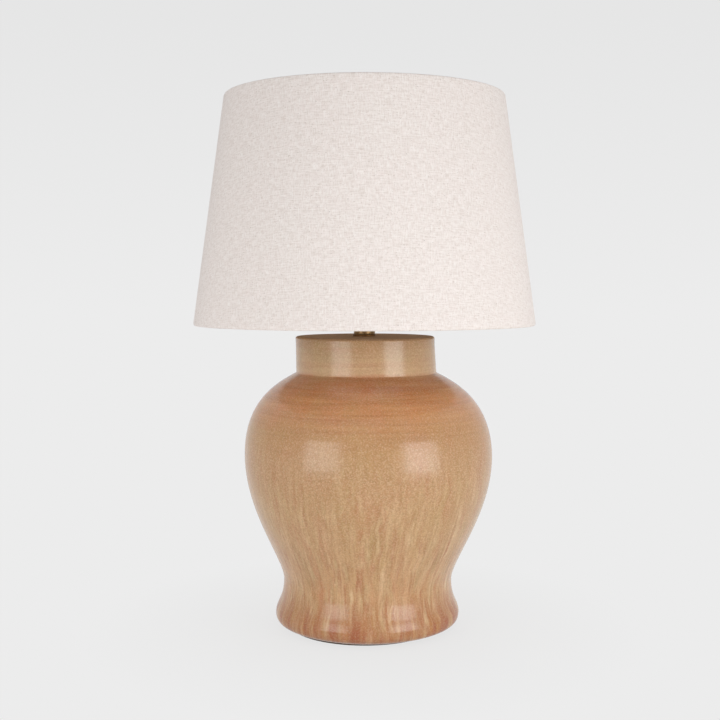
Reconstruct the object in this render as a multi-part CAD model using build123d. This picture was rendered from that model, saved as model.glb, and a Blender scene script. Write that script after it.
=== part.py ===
from build123d import *
import math
import os

os.makedirs("parts", exist_ok=True)

# A ginger jar lamp. A hollow glazed jar stands on a felt pad. A threaded pipe runs through
# the jar and clamps a brass neck, a harp saddle and a lamp socket on top of it. A wire harp
# stands in the saddle and carries a tapered drum shade, which a finial holds down.
# Millimetres, +Z up. The lamp's axis is the Z axis, the table is at Z 0, the front is -Y.

# Clearances
joint_gap = 0.05         # between pieces that are glued, crimped or screwed together
running_gap = 0.05       # radial, between a turning shaft and its bore
slip_gap = 0.3           # radial, between pieces that only slip over each other
pipe_hole_gap = 0.8      # radial, around the pipe in the ceramic
washer_hole_gap = 0.2    # radial, around the pipe in the washers and the brass

# Felt pad
felt_thickness = 2.0
felt_setback = 2.6       # from the jar's lower edge in to the felt's edge

# Jar: radii of its outside, and levels above its lower edge
jar_height = 348.0
jar_wall = 7.0
edge_radius = 93.6
foot_radius = 110.8
foot_level = 15.0
waist_radius = 101.25
waist_level = 55.2
belly_radius = 148.6
belly_level = 206.0
neck_root_radius = 84.3
neck_root_level = 304.6
neck_top_radius = 83.4
rim_round = 2.8
root_round = 1.5
floor_level = 24.0       # underside of the floor inside the foot
floor_thickness = 8.0
top_thickness = 7.0
land_width = 6.6         # flat ring under the jar, on the felt

# Jar: how far the curve reaches along its tangent from each of those points
edge_slope = 20.8        # degrees above the horizontal
edge_reach = 10.9
foot_reach_down = 11.05
foot_reach_up = 11.0
waist_reach_down = 24.7
waist_reach_up = 25.4
belly_reach_down = 68.5
belly_reach_up = 64.8
shoulder_slope = 27.0    # degrees below the horizontal, at the neck's root
shoulder_reach = 26.9
recess_reach = 8.0

# Cord outlet through the back of the foot
cord_bore_radius = 3.5
bushing_radius = 4.7
bushing_length = 11.0
bushing_flange_radius = 7.0
bushing_flange_thickness = 2.3
spot_face_depth = 2.6
spot_face_gap = 0.7      # radial, around the bushing's flange

# Threaded pipe and the stack that clamps it under the floor
pipe_radius = 4.9
pipe_bore_radius = 3.3
pipe_below_nut = 2.0
rubber_washer_radius = 20.0
rubber_washer_thickness = 2.0
steel_washer_radius = 19.0
steel_washer_thickness = 2.0
lock_washer_radius = 8.0
lock_washer_thickness = 1.0
lock_tooth_count = 10
lock_tooth_depth = 1.6
lock_tooth_width = 1.2
nut_across_flats = 14.0
nut_thickness = 4.5

# Brass neck on the jar
seat_radius = 14.0
seat_height = 2.5
seat_round = 0.8
neck_radius = 12.75
neck_height = 26.0
neck_plain_height = 10.0
neck_cove_radius = 9.3
neck_collar_radius = 11.75
neck_collar_height = 3.5

# Harp saddle, harp and ferrules
saddle_width = 12.0
saddle_thickness = 1.5
saddle_flat_half = 18.0
saddle_bend = 3.0
tab_width = 5.2
tab_length = 14.0
ferrule_level = 8.0      # saddle's top face up to the shoulders under the ferrules
leg_offset = 28.55       # the lamp's axis to a leg of the harp
leg_flat_thickness = 1.4
leg_flat_length = 13.0
harp_wire_radius = 1.8
harp_height = 241.3      # underside of the saddle up to the shade's seat
harp_half_width = 57.0
harp_widest_level = 129.0   # underside of the saddle up to the widest point
harp_leg_length = 18.0   # straight wire above the tabs
harp_bow_radius = 60.0   # where each leg starts to bend outwards
harp_corner_radius = 28.0
harp_top_half = 6.0      # half of the straight wire under the bracket
ferrule_wall = 0.7
ferrule_length = 12.0
bracket_radius = 9.5
bracket_thickness = 4.0
stud_radius = 3.1
stud_length = 12.0       # above the shade's seat
stud_sunk = 2.0          # into the bracket

# Lamp socket
cap_hub_radius = 7.0
cap_hub_height = 8.0
cap_wall = 0.6
cap_dome_top = 20.0
cap_height = 27.0
cap_dome_flat = 9.0      # how far the dome reaches out level, then up steep
cap_dome_steep = 8.0
shell_radius = 18.6
shell_wall = 0.5
shell_height = 41.0
shell_seat = 1.0         # from the dome's top up to the shell's lower edge
sleeve_wall = 0.6
sleeve_setback = 0.6     # of the sleeve's edges inside the shell's
body_half_height = 9.0   # each half of the insulating body, split at the switch
body_lift = 2.0          # from the shell's lower edge up to the body
rivet_radius = 1.4
rivet_offset_x = 7.5
rivet_offset_y = 10.5
terminal_flat = 13.0     # from the axis out to each terminal's seat
terminal_pocket_half = 4.0
terminal_head_radius = 2.9
terminal_head_height = 2.2
terminal_shank_radius = 1.5
terminal_shank_length = 4.5
terminal_drop = 4.6      # below the split
set_screw_radius = 1.5
set_screw_length = 3.4
screw_shell_bore = 13.6
screw_shell_wall = 0.4
screw_shell_height = 19.0
screw_shell_floor_hole = 6.0
contact_radius = 4.0
contact_thickness = 0.6
contact_button_radius = 2.4
contact_height = 2.9

# Switch
stem_radius = 1.3
stem_inner_end = 2.0     # from the lamp's axis
stem_outer_end = 31.0
rotor_radius = 4.4
rotor_length = 6.0
rotor_near_end = 2.6     # from the lamp's axis
knob_bushing_radius = 3.3
knob_bushing_length = 3.4
knob_radius = 4.8
knob_length = 13.0
knob_flute_count = 10
knob_flute_radius = 0.8
knob_round = 0.8

# Bulb, levels above its tip
bulb_length = 108.0
bulb_radius = 30.0
glass_wall = 0.8
glass_foot_level = 14.0
glass_neck_level = 24.0
glass_neck_reach = 16.0
glass_side_reach = 23.0
tip_radius = 4.6
tip_height = 1.8
insulator_radius = 11.4
insulator_top_level = 5.6
bulb_cap_radius = 13.1
bulb_cap_wall = 0.4
bulb_cap_top_level = 26.5
bulb_thread_pitch = 3.6
bulb_thread_count = 4
bulb_thread_low_level = 8.0
bulb_thread_depth = 0.6
stem_glass_radius = 3.4
stem_glass_level = 44.0
stem_flare_height = 1.6
filament_radius = 0.5
filament_half_span = 11.0
filament_level = 68.0
filament_foot_half = 2.2
filament_bend = 1.5

# Shade
shade_bottom_radius = 203.2
shade_top_radius = 166.0
shade_height = 269.5
linen_thickness = 0.7
hem_turn = 250.0         # degrees that a hem wraps round its ring
ring_wire_radius = 1.5
liner_thickness = 0.5
liner_setback = 2.8      # from each ring's centre to the liner's edge
liner_lap = 12.0         # width of the liner's overlap at the back
spider_drop = 12.0       # the shade's top down to the top of the washer
washer_radius = 12.5
washer_thickness = 1.2
arm_count = 3
arm_first_azimuth = 90.0
arm_wire_radius = 1.6
arm_start = 10.2         # from the axis to an arm's inner end
arm_bend_start = 20.0
arm_bend = 12.0
notch_gap = 0.6          # linen left open around each arm

# Finial
finial_base_radius = 8.0
finial_base_height = 2.6
finial_waist_radius = 4.8
finial_waist_level = 6.0
finial_ball_radius = 7.6
finial_ball_level = 14.5
finial_tip_radius = 2.8
finial_height = 28.0
finial_bore_extra = 1.0  # past the stud's end

# Levels that follow from the sizes above
jar_low = felt_thickness
jar_top = jar_low + jar_height
floor_low = jar_low + floor_level
floor_top = floor_low + floor_thickness
washer_low = floor_low - rubber_washer_thickness
plate_low = washer_low - steel_washer_thickness
lock_low = plate_low - lock_washer_thickness
nut_low = lock_low - nut_thickness
pipe_low = nut_low - pipe_below_nut
cord_level = jar_low + foot_level
spot_face = foot_radius - spot_face_depth
neck_low = jar_top + seat_height
saddle_low = neck_low + neck_height
socket_low = saddle_low + saddle_thickness
ferrule_low = socket_low + ferrule_level
tab_top = ferrule_low + tab_length
leg_low = tab_top + slip_gap
bow_low = leg_low + harp_leg_length
seat_level = saddle_low + harp_height
wire_top_level = seat_level - bracket_thickness
pipe_top = socket_low + cap_hub_height
shell_low = socket_low + cap_dome_top + shell_seat
shell_top = shell_low + shell_height
body_low = shell_low + body_lift
switch_level = body_low + body_half_height
body_top = switch_level + body_half_height
bulb_low = body_top + contact_height + joint_gap
washer_top = seat_level + washer_thickness
shade_top = washer_top + spider_drop
shade_low = shade_top - shade_height

# Radii that follow from the sizes above
cap_rim_radius = shell_radius + joint_gap + cap_wall
sleeve_radius = shell_radius - shell_wall - joint_gap
body_radius = sleeve_radius - sleeve_wall - joint_gap
hem_inner = ring_wire_radius + slip_gap
hem_outer = hem_inner + linen_thickness
ferrule_bore = math.hypot(tab_width / 2, saddle_thickness + joint_gap) + running_gap
ferrule_radius = ferrule_bore + ferrule_wall
glass_neck_radius = bulb_cap_radius - bulb_thread_depth - bulb_cap_wall - slip_gap
stem_flare_radius = glass_neck_radius - glass_wall - joint_gap

base_align = (Align.CENTER, Align.CENTER, Align.MIN)


def turned(*outline):
    """A solid turned about the lamp's axis from an outline of (radius, height)."""
    return revolve(Plane.XZ * make_face(outline), Axis.Z)


def turned_polygon(*corners):
    """A turned solid whose outline has straight sides only."""
    return turned(Polyline(*corners, close=True))


def disc(radius, low, high):
    """A round disc about the lamp's axis."""
    return Pos(0, 0, low) * Cylinder(radius, high - low, align=base_align)


def ring(radius, bore, low, high):
    """A flat ring or a tube about the lamp's axis."""
    return disc(radius, low, high) - disc(bore, low, high)


def rod(radius, start, end):
    """A round bar from one point to another."""
    line = Line(start, end)
    return Pos(*start) * (Plane(origin=(0, 0, 0), z_dir=line % 0)
                          * Cylinder(radius, line.length, align=base_align))


def bent_wire(radius, path):
    """A round wire that follows a path."""
    return sweep(Plane(origin=path @ 0, z_dir=path % 0) * Circle(radius), path)


# ---------------------------------------------------------------- jar and its foot

def jar_form(inset):
    """The jar's outer shape, drawn in by a wall: a foot, a waist, a belly and a neck."""
    slope = math.radians(shoulder_slope)
    drop = inset * (math.cos(slope) - (1 - math.sin(slope)) * math.tan(slope))
    edge = (edge_radius - inset, jar_low)
    foot = (foot_radius - inset, jar_low + foot_level)
    waist = (waist_radius - inset, jar_low + waist_level)
    belly = (belly_radius - inset, jar_low + belly_level)
    root = (neck_root_radius - inset, jar_low + neck_root_level - drop)
    top = (neck_top_radius - inset, jar_top)
    lift = math.radians(edge_slope)
    edge_handle = (edge[0] + edge_reach * math.cos(lift), edge[1] + edge_reach * math.sin(lift))
    root_handle = (root[0] + shoulder_reach * math.cos(slope),
                   root[1] - shoulder_reach * math.sin(slope))
    return turned(
        Bezier(edge, edge_handle, (foot[0], foot[1] - foot_reach_down), foot),
        Bezier(foot, (foot[0], foot[1] + foot_reach_up),
               (waist[0], waist[1] - waist_reach_down), waist),
        Bezier(waist, (waist[0], waist[1] + waist_reach_up),
               (belly[0], belly[1] - belly_reach_down), belly),
        Bezier(belly, (belly[0], belly[1] + belly_reach_up), root_handle, root),
        Polyline(root, top, (0, jar_top), (0, jar_low), edge))


def foot_recess():
    """The hollow under the floor, inside the foot."""
    land = (edge_radius - land_width, jar_low)
    side = (foot_radius - jar_wall, jar_low + foot_level)
    return turned(
        Bezier(land, (land[0], land[1] + recess_reach), (side[0], side[1] - recess_reach), side),
        Polyline(side, (side[0], floor_low), (0, floor_low), (0, jar_low), land))


def cord_hole():
    """The round hole through the back of the foot, with a flat for the bushing's flange."""
    hole = rod(bushing_radius + joint_gap, (0, foot_radius - 3 * jar_wall, cord_level),
               (0, foot_radius + jar_wall, cord_level))
    flat = rod(bushing_flange_radius + spot_face_gap, (0, spot_face, cord_level),
               (0, foot_radius + jar_wall, cord_level))
    return hole + flat


def make_jar():
    outside = jar_form(0)
    circles = outside.edges().filter_by(GeomType.CIRCLE)
    rim = [edge for edge in circles if abs(edge.center().Z - jar_top) < 1e-6]
    root_height = jar_low + neck_root_level
    root = [edge for edge in circles if abs(edge.center().Z - root_height) < 1e-6]
    outside = fillet(rim, rim_round)
    root = [edge for edge in outside.edges().filter_by(GeomType.CIRCLE)
            if abs(edge.center().Z - root_height) < 1e-6]
    outside = fillet(root, root_round)
    hollow = jar_form(jar_wall) & disc(belly_radius, floor_top, jar_top - top_thickness)
    pipe_hole = disc(pipe_radius + pipe_hole_gap, floor_low, jar_top)
    return outside - hollow - foot_recess() - pipe_hole - cord_hole()


def make_felt():
    return disc(edge_radius - felt_setback, 0, felt_thickness)


def make_cord_bushing():
    inner_end = (0, spot_face - bushing_length, cord_level)
    face = (0, spot_face, cord_level)
    outer_end = (0, spot_face + bushing_flange_thickness, cord_level)
    bushing = rod(bushing_radius, inner_end, face) + rod(bushing_flange_radius, face, outer_end)
    return bushing - rod(cord_bore_radius, inner_end, outer_end)


# ---------------------------------------------------------------- pipe and clamp

def make_pipe():
    return ring(pipe_radius, pipe_bore_radius, pipe_low, pipe_top)


def make_rubber_washer():
    return ring(rubber_washer_radius, pipe_radius + washer_hole_gap, washer_low, floor_low)


def make_steel_washer():
    return ring(steel_washer_radius, pipe_radius + washer_hole_gap, plate_low, washer_low)


def make_lock_washer():
    washer = ring(lock_washer_radius, pipe_radius + washer_hole_gap, lock_low, plate_low)
    notch = Pos(lock_washer_radius, 0, lock_low) * Box(
        2 * lock_tooth_depth, lock_tooth_width, lock_washer_thickness, align=base_align)
    for index in range(lock_tooth_count):
        washer -= Rot(0, 0, index * 360 / lock_tooth_count) * notch
    return washer


def make_nut():
    hexagon = RegularPolygon(nut_across_flats / 2, 6, major_radius=False)
    nut = Pos(0, 0, nut_low) * extrude(hexagon, nut_thickness)
    return nut - disc(pipe_radius + joint_gap, nut_low, lock_low)


# ---------------------------------------------------------------- brass neck

def make_seat():
    top = jar_top + seat_height
    bore = pipe_radius + washer_hole_gap
    seat = ring(seat_radius, bore, jar_top, top)
    return fillet(seat.edges().group_by(Axis.Z)[-1].sort_by(SortBy.LENGTH)[-1], seat_round)


def make_neck():
    plain_top = neck_low + neck_plain_height
    collar_low = saddle_low - neck_collar_height
    bore = pipe_radius + washer_hole_gap
    middle = (plain_top + collar_low) / 2
    return turned(
        Polyline((neck_collar_radius, collar_low), (neck_collar_radius, saddle_low),
                 (bore, saddle_low), (bore, neck_low), (neck_radius, neck_low),
                 (neck_radius, plain_top)),
        ThreePointArc((neck_radius, plain_top), (neck_cove_radius, middle),
                      (neck_collar_radius, collar_low)))


# ---------------------------------------------------------------- harp

tab_centre = leg_offset - (saddle_thickness + joint_gap) / 2


def make_saddle():
    """A flat strip bent up at both ends into narrow tabs."""
    middle = saddle_low + saddle_thickness / 2
    shoulder = ferrule_low - saddle_bend
    path = Plane.XZ * FilletPolyline(
        (-tab_centre, tab_top), (-tab_centre, shoulder), (-saddle_flat_half, middle),
        (saddle_flat_half, middle), (tab_centre, shoulder), (tab_centre, tab_top),
        radius=saddle_bend)
    section = Plane(origin=path @ 0, z_dir=path % 0, x_dir=(0, 1, 0)) * Rectangle(
        saddle_width, saddle_thickness)
    strip = sweep(section, path)
    beside = (saddle_width - tab_width) / 2
    for side in (-1, 1):
        for edge in (-1, 1):
            place = Pos(side * tab_centre, edge * (tab_width + beside) / 2, ferrule_low)
            strip -= place * Box(3 * saddle_thickness, beside, tab_length, align=base_align)
    return strip - disc(pipe_radius + washer_hole_gap, saddle_low, socket_low)


def harp_path():
    """One unbroken line, up one leg, over the top and down the other, all arcs tangent."""
    widest = saddle_low + harp_widest_level
    top = wire_top_level
    bow_out = harp_half_width - leg_offset
    bow_up = widest - bow_low
    lean = 2 * math.atan2(bow_out, bow_up)
    lower_radius = bow_up / math.sin(lean) - harp_bow_radius
    arch_in = harp_half_width - harp_top_half - harp_corner_radius
    arch_up = top - widest - harp_corner_radius
    turn = 2 * math.atan2(arch_in, arch_up)
    arch_radius = arch_up / math.sin(turn) + harp_corner_radius
    lean_degrees = math.degrees(lean)
    turn_degrees = math.degrees(turn)
    side = [
        Line((leg_offset, leg_low), (leg_offset, bow_low)),
        CenterArc((leg_offset + harp_bow_radius, bow_low), harp_bow_radius, 180, -lean_degrees),
        CenterArc((harp_half_width - lower_radius, widest), lower_radius,
                  -lean_degrees, lean_degrees),
        CenterArc((harp_half_width - arch_radius, widest), arch_radius, 0, turn_degrees),
        CenterArc((harp_top_half, top - harp_corner_radius), harp_corner_radius,
                  turn_degrees, 90 - turn_degrees)]
    across = Line((harp_top_half, top), (-harp_top_half, top))
    other_side = [edge.mirror(Plane.YZ) for edge in side]
    return Plane.XZ * Wire([*side, across, *other_side])


def make_harp():
    """The bent wire, with each foot flattened to lie against its tab."""
    harp = bent_wire(harp_wire_radius, harp_path())
    flat_low = leg_low - leg_flat_length
    flat_centre = tab_centre + (saddle_thickness + leg_flat_thickness) / 2 + joint_gap
    for side in (-1, 1):
        foot = Pos(side * flat_centre, 0, flat_low) * Box(
            leg_flat_thickness, tab_width, leg_flat_length + harp_wire_radius, align=base_align)
        harp += foot
    return harp


def make_bracket():
    """The round seat crimped over the top of the wire."""
    groove = rod(harp_wire_radius + joint_gap, (-bracket_radius, 0, wire_top_level),
                 (bracket_radius, 0, wire_top_level))
    socket = disc(stud_radius + joint_gap, seat_level - stud_sunk, seat_level)
    return disc(bracket_radius, wire_top_level, seat_level) - groove - socket


def make_stud():
    return disc(stud_radius, seat_level - stud_sunk, seat_level + stud_length)


def make_ferrule(side):
    tube = ring(ferrule_radius, ferrule_bore, ferrule_low, ferrule_low + ferrule_length)
    return Pos(side * leg_offset, 0, 0) * tube


# ---------------------------------------------------------------- socket

def cap_form(inset, low):
    """The cap's outer shape, drawn in by a wall: a hub, a dome and a straight rim."""
    hub = cap_hub_radius - inset
    rim = cap_rim_radius - inset
    spring = socket_low + cap_hub_height + inset
    dome_top = socket_low + cap_dome_top
    top = socket_low + cap_height
    return turned(
        Bezier((hub, spring), (hub + cap_dome_flat, spring),
               (rim, dome_top - cap_dome_steep), (rim, dome_top)),
        Polyline((rim, dome_top), (rim, top), (0, top), (0, low), (hub, low), (hub, spring)))


def make_socket_cap():
    spring = socket_low + cap_hub_height
    cap = cap_form(0, socket_low) - cap_form(cap_wall, spring)
    cap -= disc(pipe_radius + joint_gap, socket_low, socket_low + cap_height)
    screw_level = socket_low + cap_hub_height / 2
    return cap - rod(set_screw_radius + joint_gap, (0, 0, screw_level),
                     (0, 2 * cap_hub_radius, screw_level))


def make_set_screw():
    level = socket_low + cap_hub_height / 2
    start = pipe_radius + joint_gap
    screw = rod(set_screw_radius, (0, start, level), (0, start + set_screw_length, level))
    head_end = start + set_screw_length
    slot = Pos(0, head_end, level) * Box(2 * set_screw_radius, set_screw_radius,
                                         set_screw_radius / 2)
    tip = disc(start, level - cap_hub_height, level + cap_hub_height)
    return screw - slot - tip


def knob_hole(radius):
    """A round hole through the socket's front wall, for the switch."""
    return rod(radius, (0, -body_radius / 2, switch_level), (0, -2 * shell_radius, switch_level))


def make_socket_shell():
    tube = ring(shell_radius, shell_radius - shell_wall, shell_low, shell_top)
    return tube - knob_hole(knob_bushing_radius + slip_gap)


def make_socket_sleeve():
    tube = ring(sleeve_radius, sleeve_radius - sleeve_wall,
                shell_low + sleeve_setback, shell_top - sleeve_setback)
    return tube - knob_hole(knob_bushing_radius + slip_gap)


def body_cuts():
    """The switch's hollow and bores, the rivets' holes and the terminals' pockets."""
    rotor_near = rotor_near_end - slip_gap
    rotor_far = rotor_near_end + rotor_length + slip_gap
    cuts = rod(rotor_radius + slip_gap, (0, -rotor_near, switch_level),
               (0, -rotor_far, switch_level))
    cuts += rod(stem_radius + running_gap, (0, -stem_inner_end + slip_gap, switch_level),
                (0, -body_radius - slip_gap, switch_level))
    for side in (-1, 1):
        x = side * rivet_offset_x
        cuts += Pos(x, rivet_offset_y, 0) * disc(rivet_radius + joint_gap, body_low, body_top)
        level = switch_level - terminal_drop
        seat = (side * terminal_flat, 0, level)
        cuts += rod(terminal_shank_radius + joint_gap,
                    (side * (terminal_flat - terminal_shank_length - slip_gap), 0, level), seat)
        depth = body_radius - terminal_flat + slip_gap
        cuts += Pos(side * (terminal_flat + depth / 2), 0, level) * Box(
            depth, 2 * terminal_pocket_half, 2 * terminal_pocket_half)
    return cuts


def make_body_half(low, high):
    return disc(body_radius, low, high) - body_cuts()


def make_body_rivets():
    left = Pos(-rivet_offset_x, rivet_offset_y, 0) * disc(rivet_radius, body_low, body_top)
    right = Pos(rivet_offset_x, rivet_offset_y, 0) * disc(rivet_radius, body_low, body_top)
    return Compound([left, right])


def make_terminal_screws():
    screws = []
    level = switch_level - terminal_drop
    for side in (-1, 1):
        seat = (side * terminal_flat, 0, level)
        end = (side * (terminal_flat - terminal_shank_length), 0, level)
        outside = (side * (terminal_flat + terminal_head_height), 0, level)
        screw = rod(terminal_shank_radius, end, seat) + rod(terminal_head_radius, seat, outside)
        slot = Pos(*outside) * Box(terminal_head_height, 2 * terminal_head_radius,
                                   terminal_head_height / 4)
        screws.append(screw - slot)
    return Compound(screws)


def make_screw_shell():
    outer = screw_shell_bore + screw_shell_wall
    top = body_top + screw_shell_height
    floor = ring(outer, screw_shell_floor_hole, body_top, body_top + screw_shell_wall)
    return floor + ring(outer, screw_shell_bore, body_top, top)


def make_centre_contact():
    base = disc(contact_radius, body_top, body_top + contact_thickness)
    return base + disc(contact_button_radius, body_top, body_top + contact_height)


# ---------------------------------------------------------------- switch

def make_knob_bushing():
    inner = -body_radius - joint_gap
    outer = inner - knob_bushing_length
    bushing = rod(knob_bushing_radius, (0, inner, switch_level), (0, outer, switch_level))
    bore = rod(stem_radius + running_gap, (0, 0, switch_level), (0, outer, switch_level))
    round_body = disc(body_radius + joint_gap, body_low, body_top)
    root = rod(knob_bushing_radius, (0, inner + sleeve_wall, switch_level),
               (0, inner, switch_level)) - round_body
    return bushing + root - bore


def make_switch_stem():
    return rod(stem_radius, (0, -stem_inner_end, switch_level),
               (0, -stem_outer_end, switch_level))


def make_switch_rotor():
    near = (0, -rotor_near_end, switch_level)
    far = (0, -rotor_near_end - rotor_length, switch_level)
    return rod(rotor_radius, near, far) - rod(stem_radius + joint_gap, near, far)


def make_switch_knob():
    """A fluted turn knob on the end of the stem."""
    low = body_radius + joint_gap + knob_bushing_length + slip_gap
    knob = Cylinder(knob_radius, knob_length, align=base_align)
    knob = fillet(knob.edges().filter_by(GeomType.CIRCLE), knob_round)
    flute = Pos(knob_radius, 0, 0) * Cylinder(
        knob_flute_radius, knob_length - 2 * knob_round, align=base_align)
    for index in range(knob_flute_count):
        knob -= Rot(0, 0, index * 360 / knob_flute_count) * flute
    knob = Pos(0, -low, switch_level) * Rot(90, 0, 0) * knob
    return knob - rod(stem_radius + joint_gap, (0, 0, switch_level),
                      (0, -stem_outer_end - joint_gap, switch_level))


# ---------------------------------------------------------------- bulb

def bulb_at(level):
    return bulb_low + level


def glass_form(inset, low):
    """The bulb's outer shape, drawn in by the glass: a neck, a flare and a round crown."""
    neck = glass_neck_radius - inset
    side = bulb_radius - inset
    centre = bulb_at(bulb_length - bulb_radius)
    neck_top = bulb_at(glass_neck_level)
    crown = centre + side
    slant = side * math.sqrt(0.5)
    return turned(
        Bezier((neck, neck_top), (neck, neck_top + glass_neck_reach),
               (side, centre - glass_side_reach), (side, centre)),
        ThreePointArc((side, centre), (slant, centre + slant), (0, crown)),
        Polyline((0, crown), (0, low), (neck, low), (neck, neck_top)))


def make_bulb_glass():
    low = bulb_at(glass_foot_level)
    return glass_form(0, low) - glass_form(glass_wall, low)


def make_bulb_tip():
    """The round solder contact at the bulb's lower end."""
    top = bulb_at(tip_height)
    return turned(
        ThreePointArc((0, bulb_low), (tip_radius / 2, bulb_low + tip_height / 4),
                      (tip_radius, top)),
        Polyline((tip_radius, top), (0, top), (0, bulb_low)))


def make_bulb_insulator():
    low = bulb_at(tip_height)
    top = bulb_at(insulator_top_level)
    return turned_polygon((0, low), (tip_radius, low), (insulator_radius, top), (0, top))


def make_bulb_cap():
    """A thin metal shell with rolled threads, drawn as rounded rings one pitch apart."""
    low = bulb_at(insulator_top_level)
    root = bulb_cap_radius - bulb_thread_depth
    first = bulb_at(bulb_thread_low_level)
    top = bulb_at(bulb_cap_top_level)
    outline = [Polyline((insulator_radius, low), (root, first))]
    level = first
    for _ in range(bulb_thread_count):
        crest = (bulb_cap_radius, level + bulb_thread_pitch / 2)
        outline.append(ThreePointArc((root, level), crest, (root, level + bulb_thread_pitch)))
        level += bulb_thread_pitch
    inside = root - bulb_cap_wall
    outline.append(Polyline((root, level), (bulb_cap_radius, level), (bulb_cap_radius, top),
                            (bulb_cap_radius - bulb_cap_wall, top),
                            (bulb_cap_radius - bulb_cap_wall, level + bulb_cap_wall),
                            (inside, level), (inside, first),
                            (insulator_radius - bulb_cap_wall, low + bulb_cap_wall),
                            (0, low + bulb_cap_wall), (0, low), (insulator_radius, low)))
    return turned(*outline)


def make_bulb_stem():
    """The glass mount inside the bulb, flared where it meets the neck."""
    low = bulb_at(glass_foot_level)
    flare = disc(stem_flare_radius, low, low + stem_flare_height)
    return flare + disc(stem_glass_radius, low, bulb_at(stem_glass_level))


def make_filament():
    foot = bulb_at(stem_glass_level) + filament_radius
    level = bulb_at(filament_level)
    path = Plane.XZ * FilletPolyline(
        (-filament_foot_half, foot), (-filament_half_span, level),
        (filament_half_span, level), (filament_foot_half, foot), radius=filament_bend)
    return bent_wire(filament_radius, path)


# ---------------------------------------------------------------- shade

bottom_ring_centre = (shade_bottom_radius - hem_outer, shade_low + hem_outer)
top_ring_centre = (shade_top_radius - hem_outer, shade_top - hem_outer)
slant_length = math.hypot(top_ring_centre[0] - bottom_ring_centre[0],
                          top_ring_centre[1] - bottom_ring_centre[1])
slant_out = (top_ring_centre[0] - bottom_ring_centre[0]) / slant_length
slant_up = (top_ring_centre[1] - bottom_ring_centre[1]) / slant_length
lean_angle = math.degrees(math.atan2(-slant_out, slant_up))


def beside_slant(centre, offset, along=0.0):
    """A point beside the line that joins the rings: offset outwards, then along it upwards."""
    return (centre[0] + offset * slant_up + along * slant_out,
            centre[1] - offset * slant_out + along * slant_up)


def make_shade_linen():
    """A cone of linen, its edges rolled round the rings and notched at the spider's arms."""
    bottom = bottom_ring_centre
    top = top_ring_centre
    top_end = math.radians(lean_angle + hem_turn)
    bottom_end = math.radians(lean_angle - hem_turn)
    linen = turned(
        Line(beside_slant(bottom, hem_outer), beside_slant(top, hem_outer)),
        CenterArc(top, hem_outer, lean_angle, hem_turn),
        Line((top[0] + hem_outer * math.cos(top_end), top[1] + hem_outer * math.sin(top_end)),
             (top[0] + hem_inner * math.cos(top_end), top[1] + hem_inner * math.sin(top_end))),
        CenterArc(top, hem_inner, lean_angle + hem_turn, -hem_turn),
        Line(beside_slant(top, hem_inner), beside_slant(bottom, hem_inner)),
        CenterArc(bottom, hem_inner, lean_angle, -hem_turn),
        Line((bottom[0] + hem_inner * math.cos(bottom_end),
              bottom[1] + hem_inner * math.sin(bottom_end)),
             (bottom[0] + hem_outer * math.cos(bottom_end),
              bottom[1] + hem_outer * math.sin(bottom_end))),
        CenterArc(bottom, hem_outer, lean_angle - hem_turn, hem_turn))
    width = 2 * (arm_wire_radius + notch_gap)
    notch = Pos(top[0] - hem_outer, 0, top[1]) * Box(2 * hem_outer, width, 2 * width)
    for index in range(arm_count):
        linen -= Rot(0, 0, arm_first_azimuth + index * 360 / arm_count) * notch
    return linen


def make_shade_liner():
    """The stiff lining inside the linen, lapped over itself at the back."""
    outer = hem_inner - joint_gap
    inner = outer - liner_thickness
    bottom = bottom_ring_centre
    top = top_ring_centre
    liner = turned_polygon(
        beside_slant(bottom, outer, liner_setback), beside_slant(top, outer, -liner_setback),
        beside_slant(top, inner, -liner_setback), beside_slant(bottom, inner, liner_setback))
    lap_inner = inner - liner_thickness
    lap = turned_polygon(
        beside_slant(bottom, inner, liner_setback), beside_slant(top, inner, -liner_setback),
        beside_slant(top, lap_inner, -liner_setback),
        beside_slant(bottom, lap_inner, liner_setback))
    strip = Pos(0, 0, shade_low) * Box(liner_lap, shade_bottom_radius, shade_height,
                                       align=(Align.CENTER, Align.MIN, Align.MIN))
    return liner + (lap & strip)


def make_ring_wire(centre):
    return Pos(0, 0, centre[1]) * Torus(centre[0], ring_wire_radius)


def make_spider_washer():
    return ring(washer_radius, stud_radius + slip_gap, seat_level, washer_top)


def make_spider_arm(index):
    """A wire from the washer out and up to the top ring."""
    end = top_ring_centre[0] - ring_wire_radius - joint_gap
    level = washer_top + arm_wire_radius
    path = Plane.XZ * FilletPolyline((arm_start, level), (arm_bend_start, level),
                                     (end, top_ring_centre[1]), radius=arm_bend)
    return Rot(0, 0, arm_first_azimuth + index * 360 / arm_count) * bent_wire(
        arm_wire_radius, path)


def make_finial():
    """A turned finial: a base, a waist, a ball and a small tip."""
    low = washer_top + joint_gap
    base_top = low + finial_base_height
    waist = low + finial_waist_level
    ball = low + finial_ball_level
    top = low + finial_height
    reach = math.sqrt(finial_ball_radius ** 2 - finial_waist_radius ** 2)
    ball_low = ball - reach
    ball_high = ball + math.sqrt(finial_ball_radius ** 2 - finial_tip_radius ** 2)
    tip_centre = top - finial_tip_radius
    body = turned(
        Polyline((finial_waist_radius, ball_low), (finial_waist_radius, waist),
                 (finial_base_radius, base_top), (finial_base_radius, low), (0, low),
                 (0, top)),
        ThreePointArc((0, top), (finial_tip_radius * math.sqrt(0.5),
                                 tip_centre + finial_tip_radius * math.sqrt(0.5)),
                      (finial_tip_radius, tip_centre)),
        Line((finial_tip_radius, tip_centre), (finial_tip_radius, ball_high)),
        ThreePointArc((finial_tip_radius, ball_high), (finial_ball_radius, ball),
                      (finial_waist_radius, ball_low)))
    return body - disc(stud_radius + joint_gap, low, seat_level + stud_length + finial_bore_extra)


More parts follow.
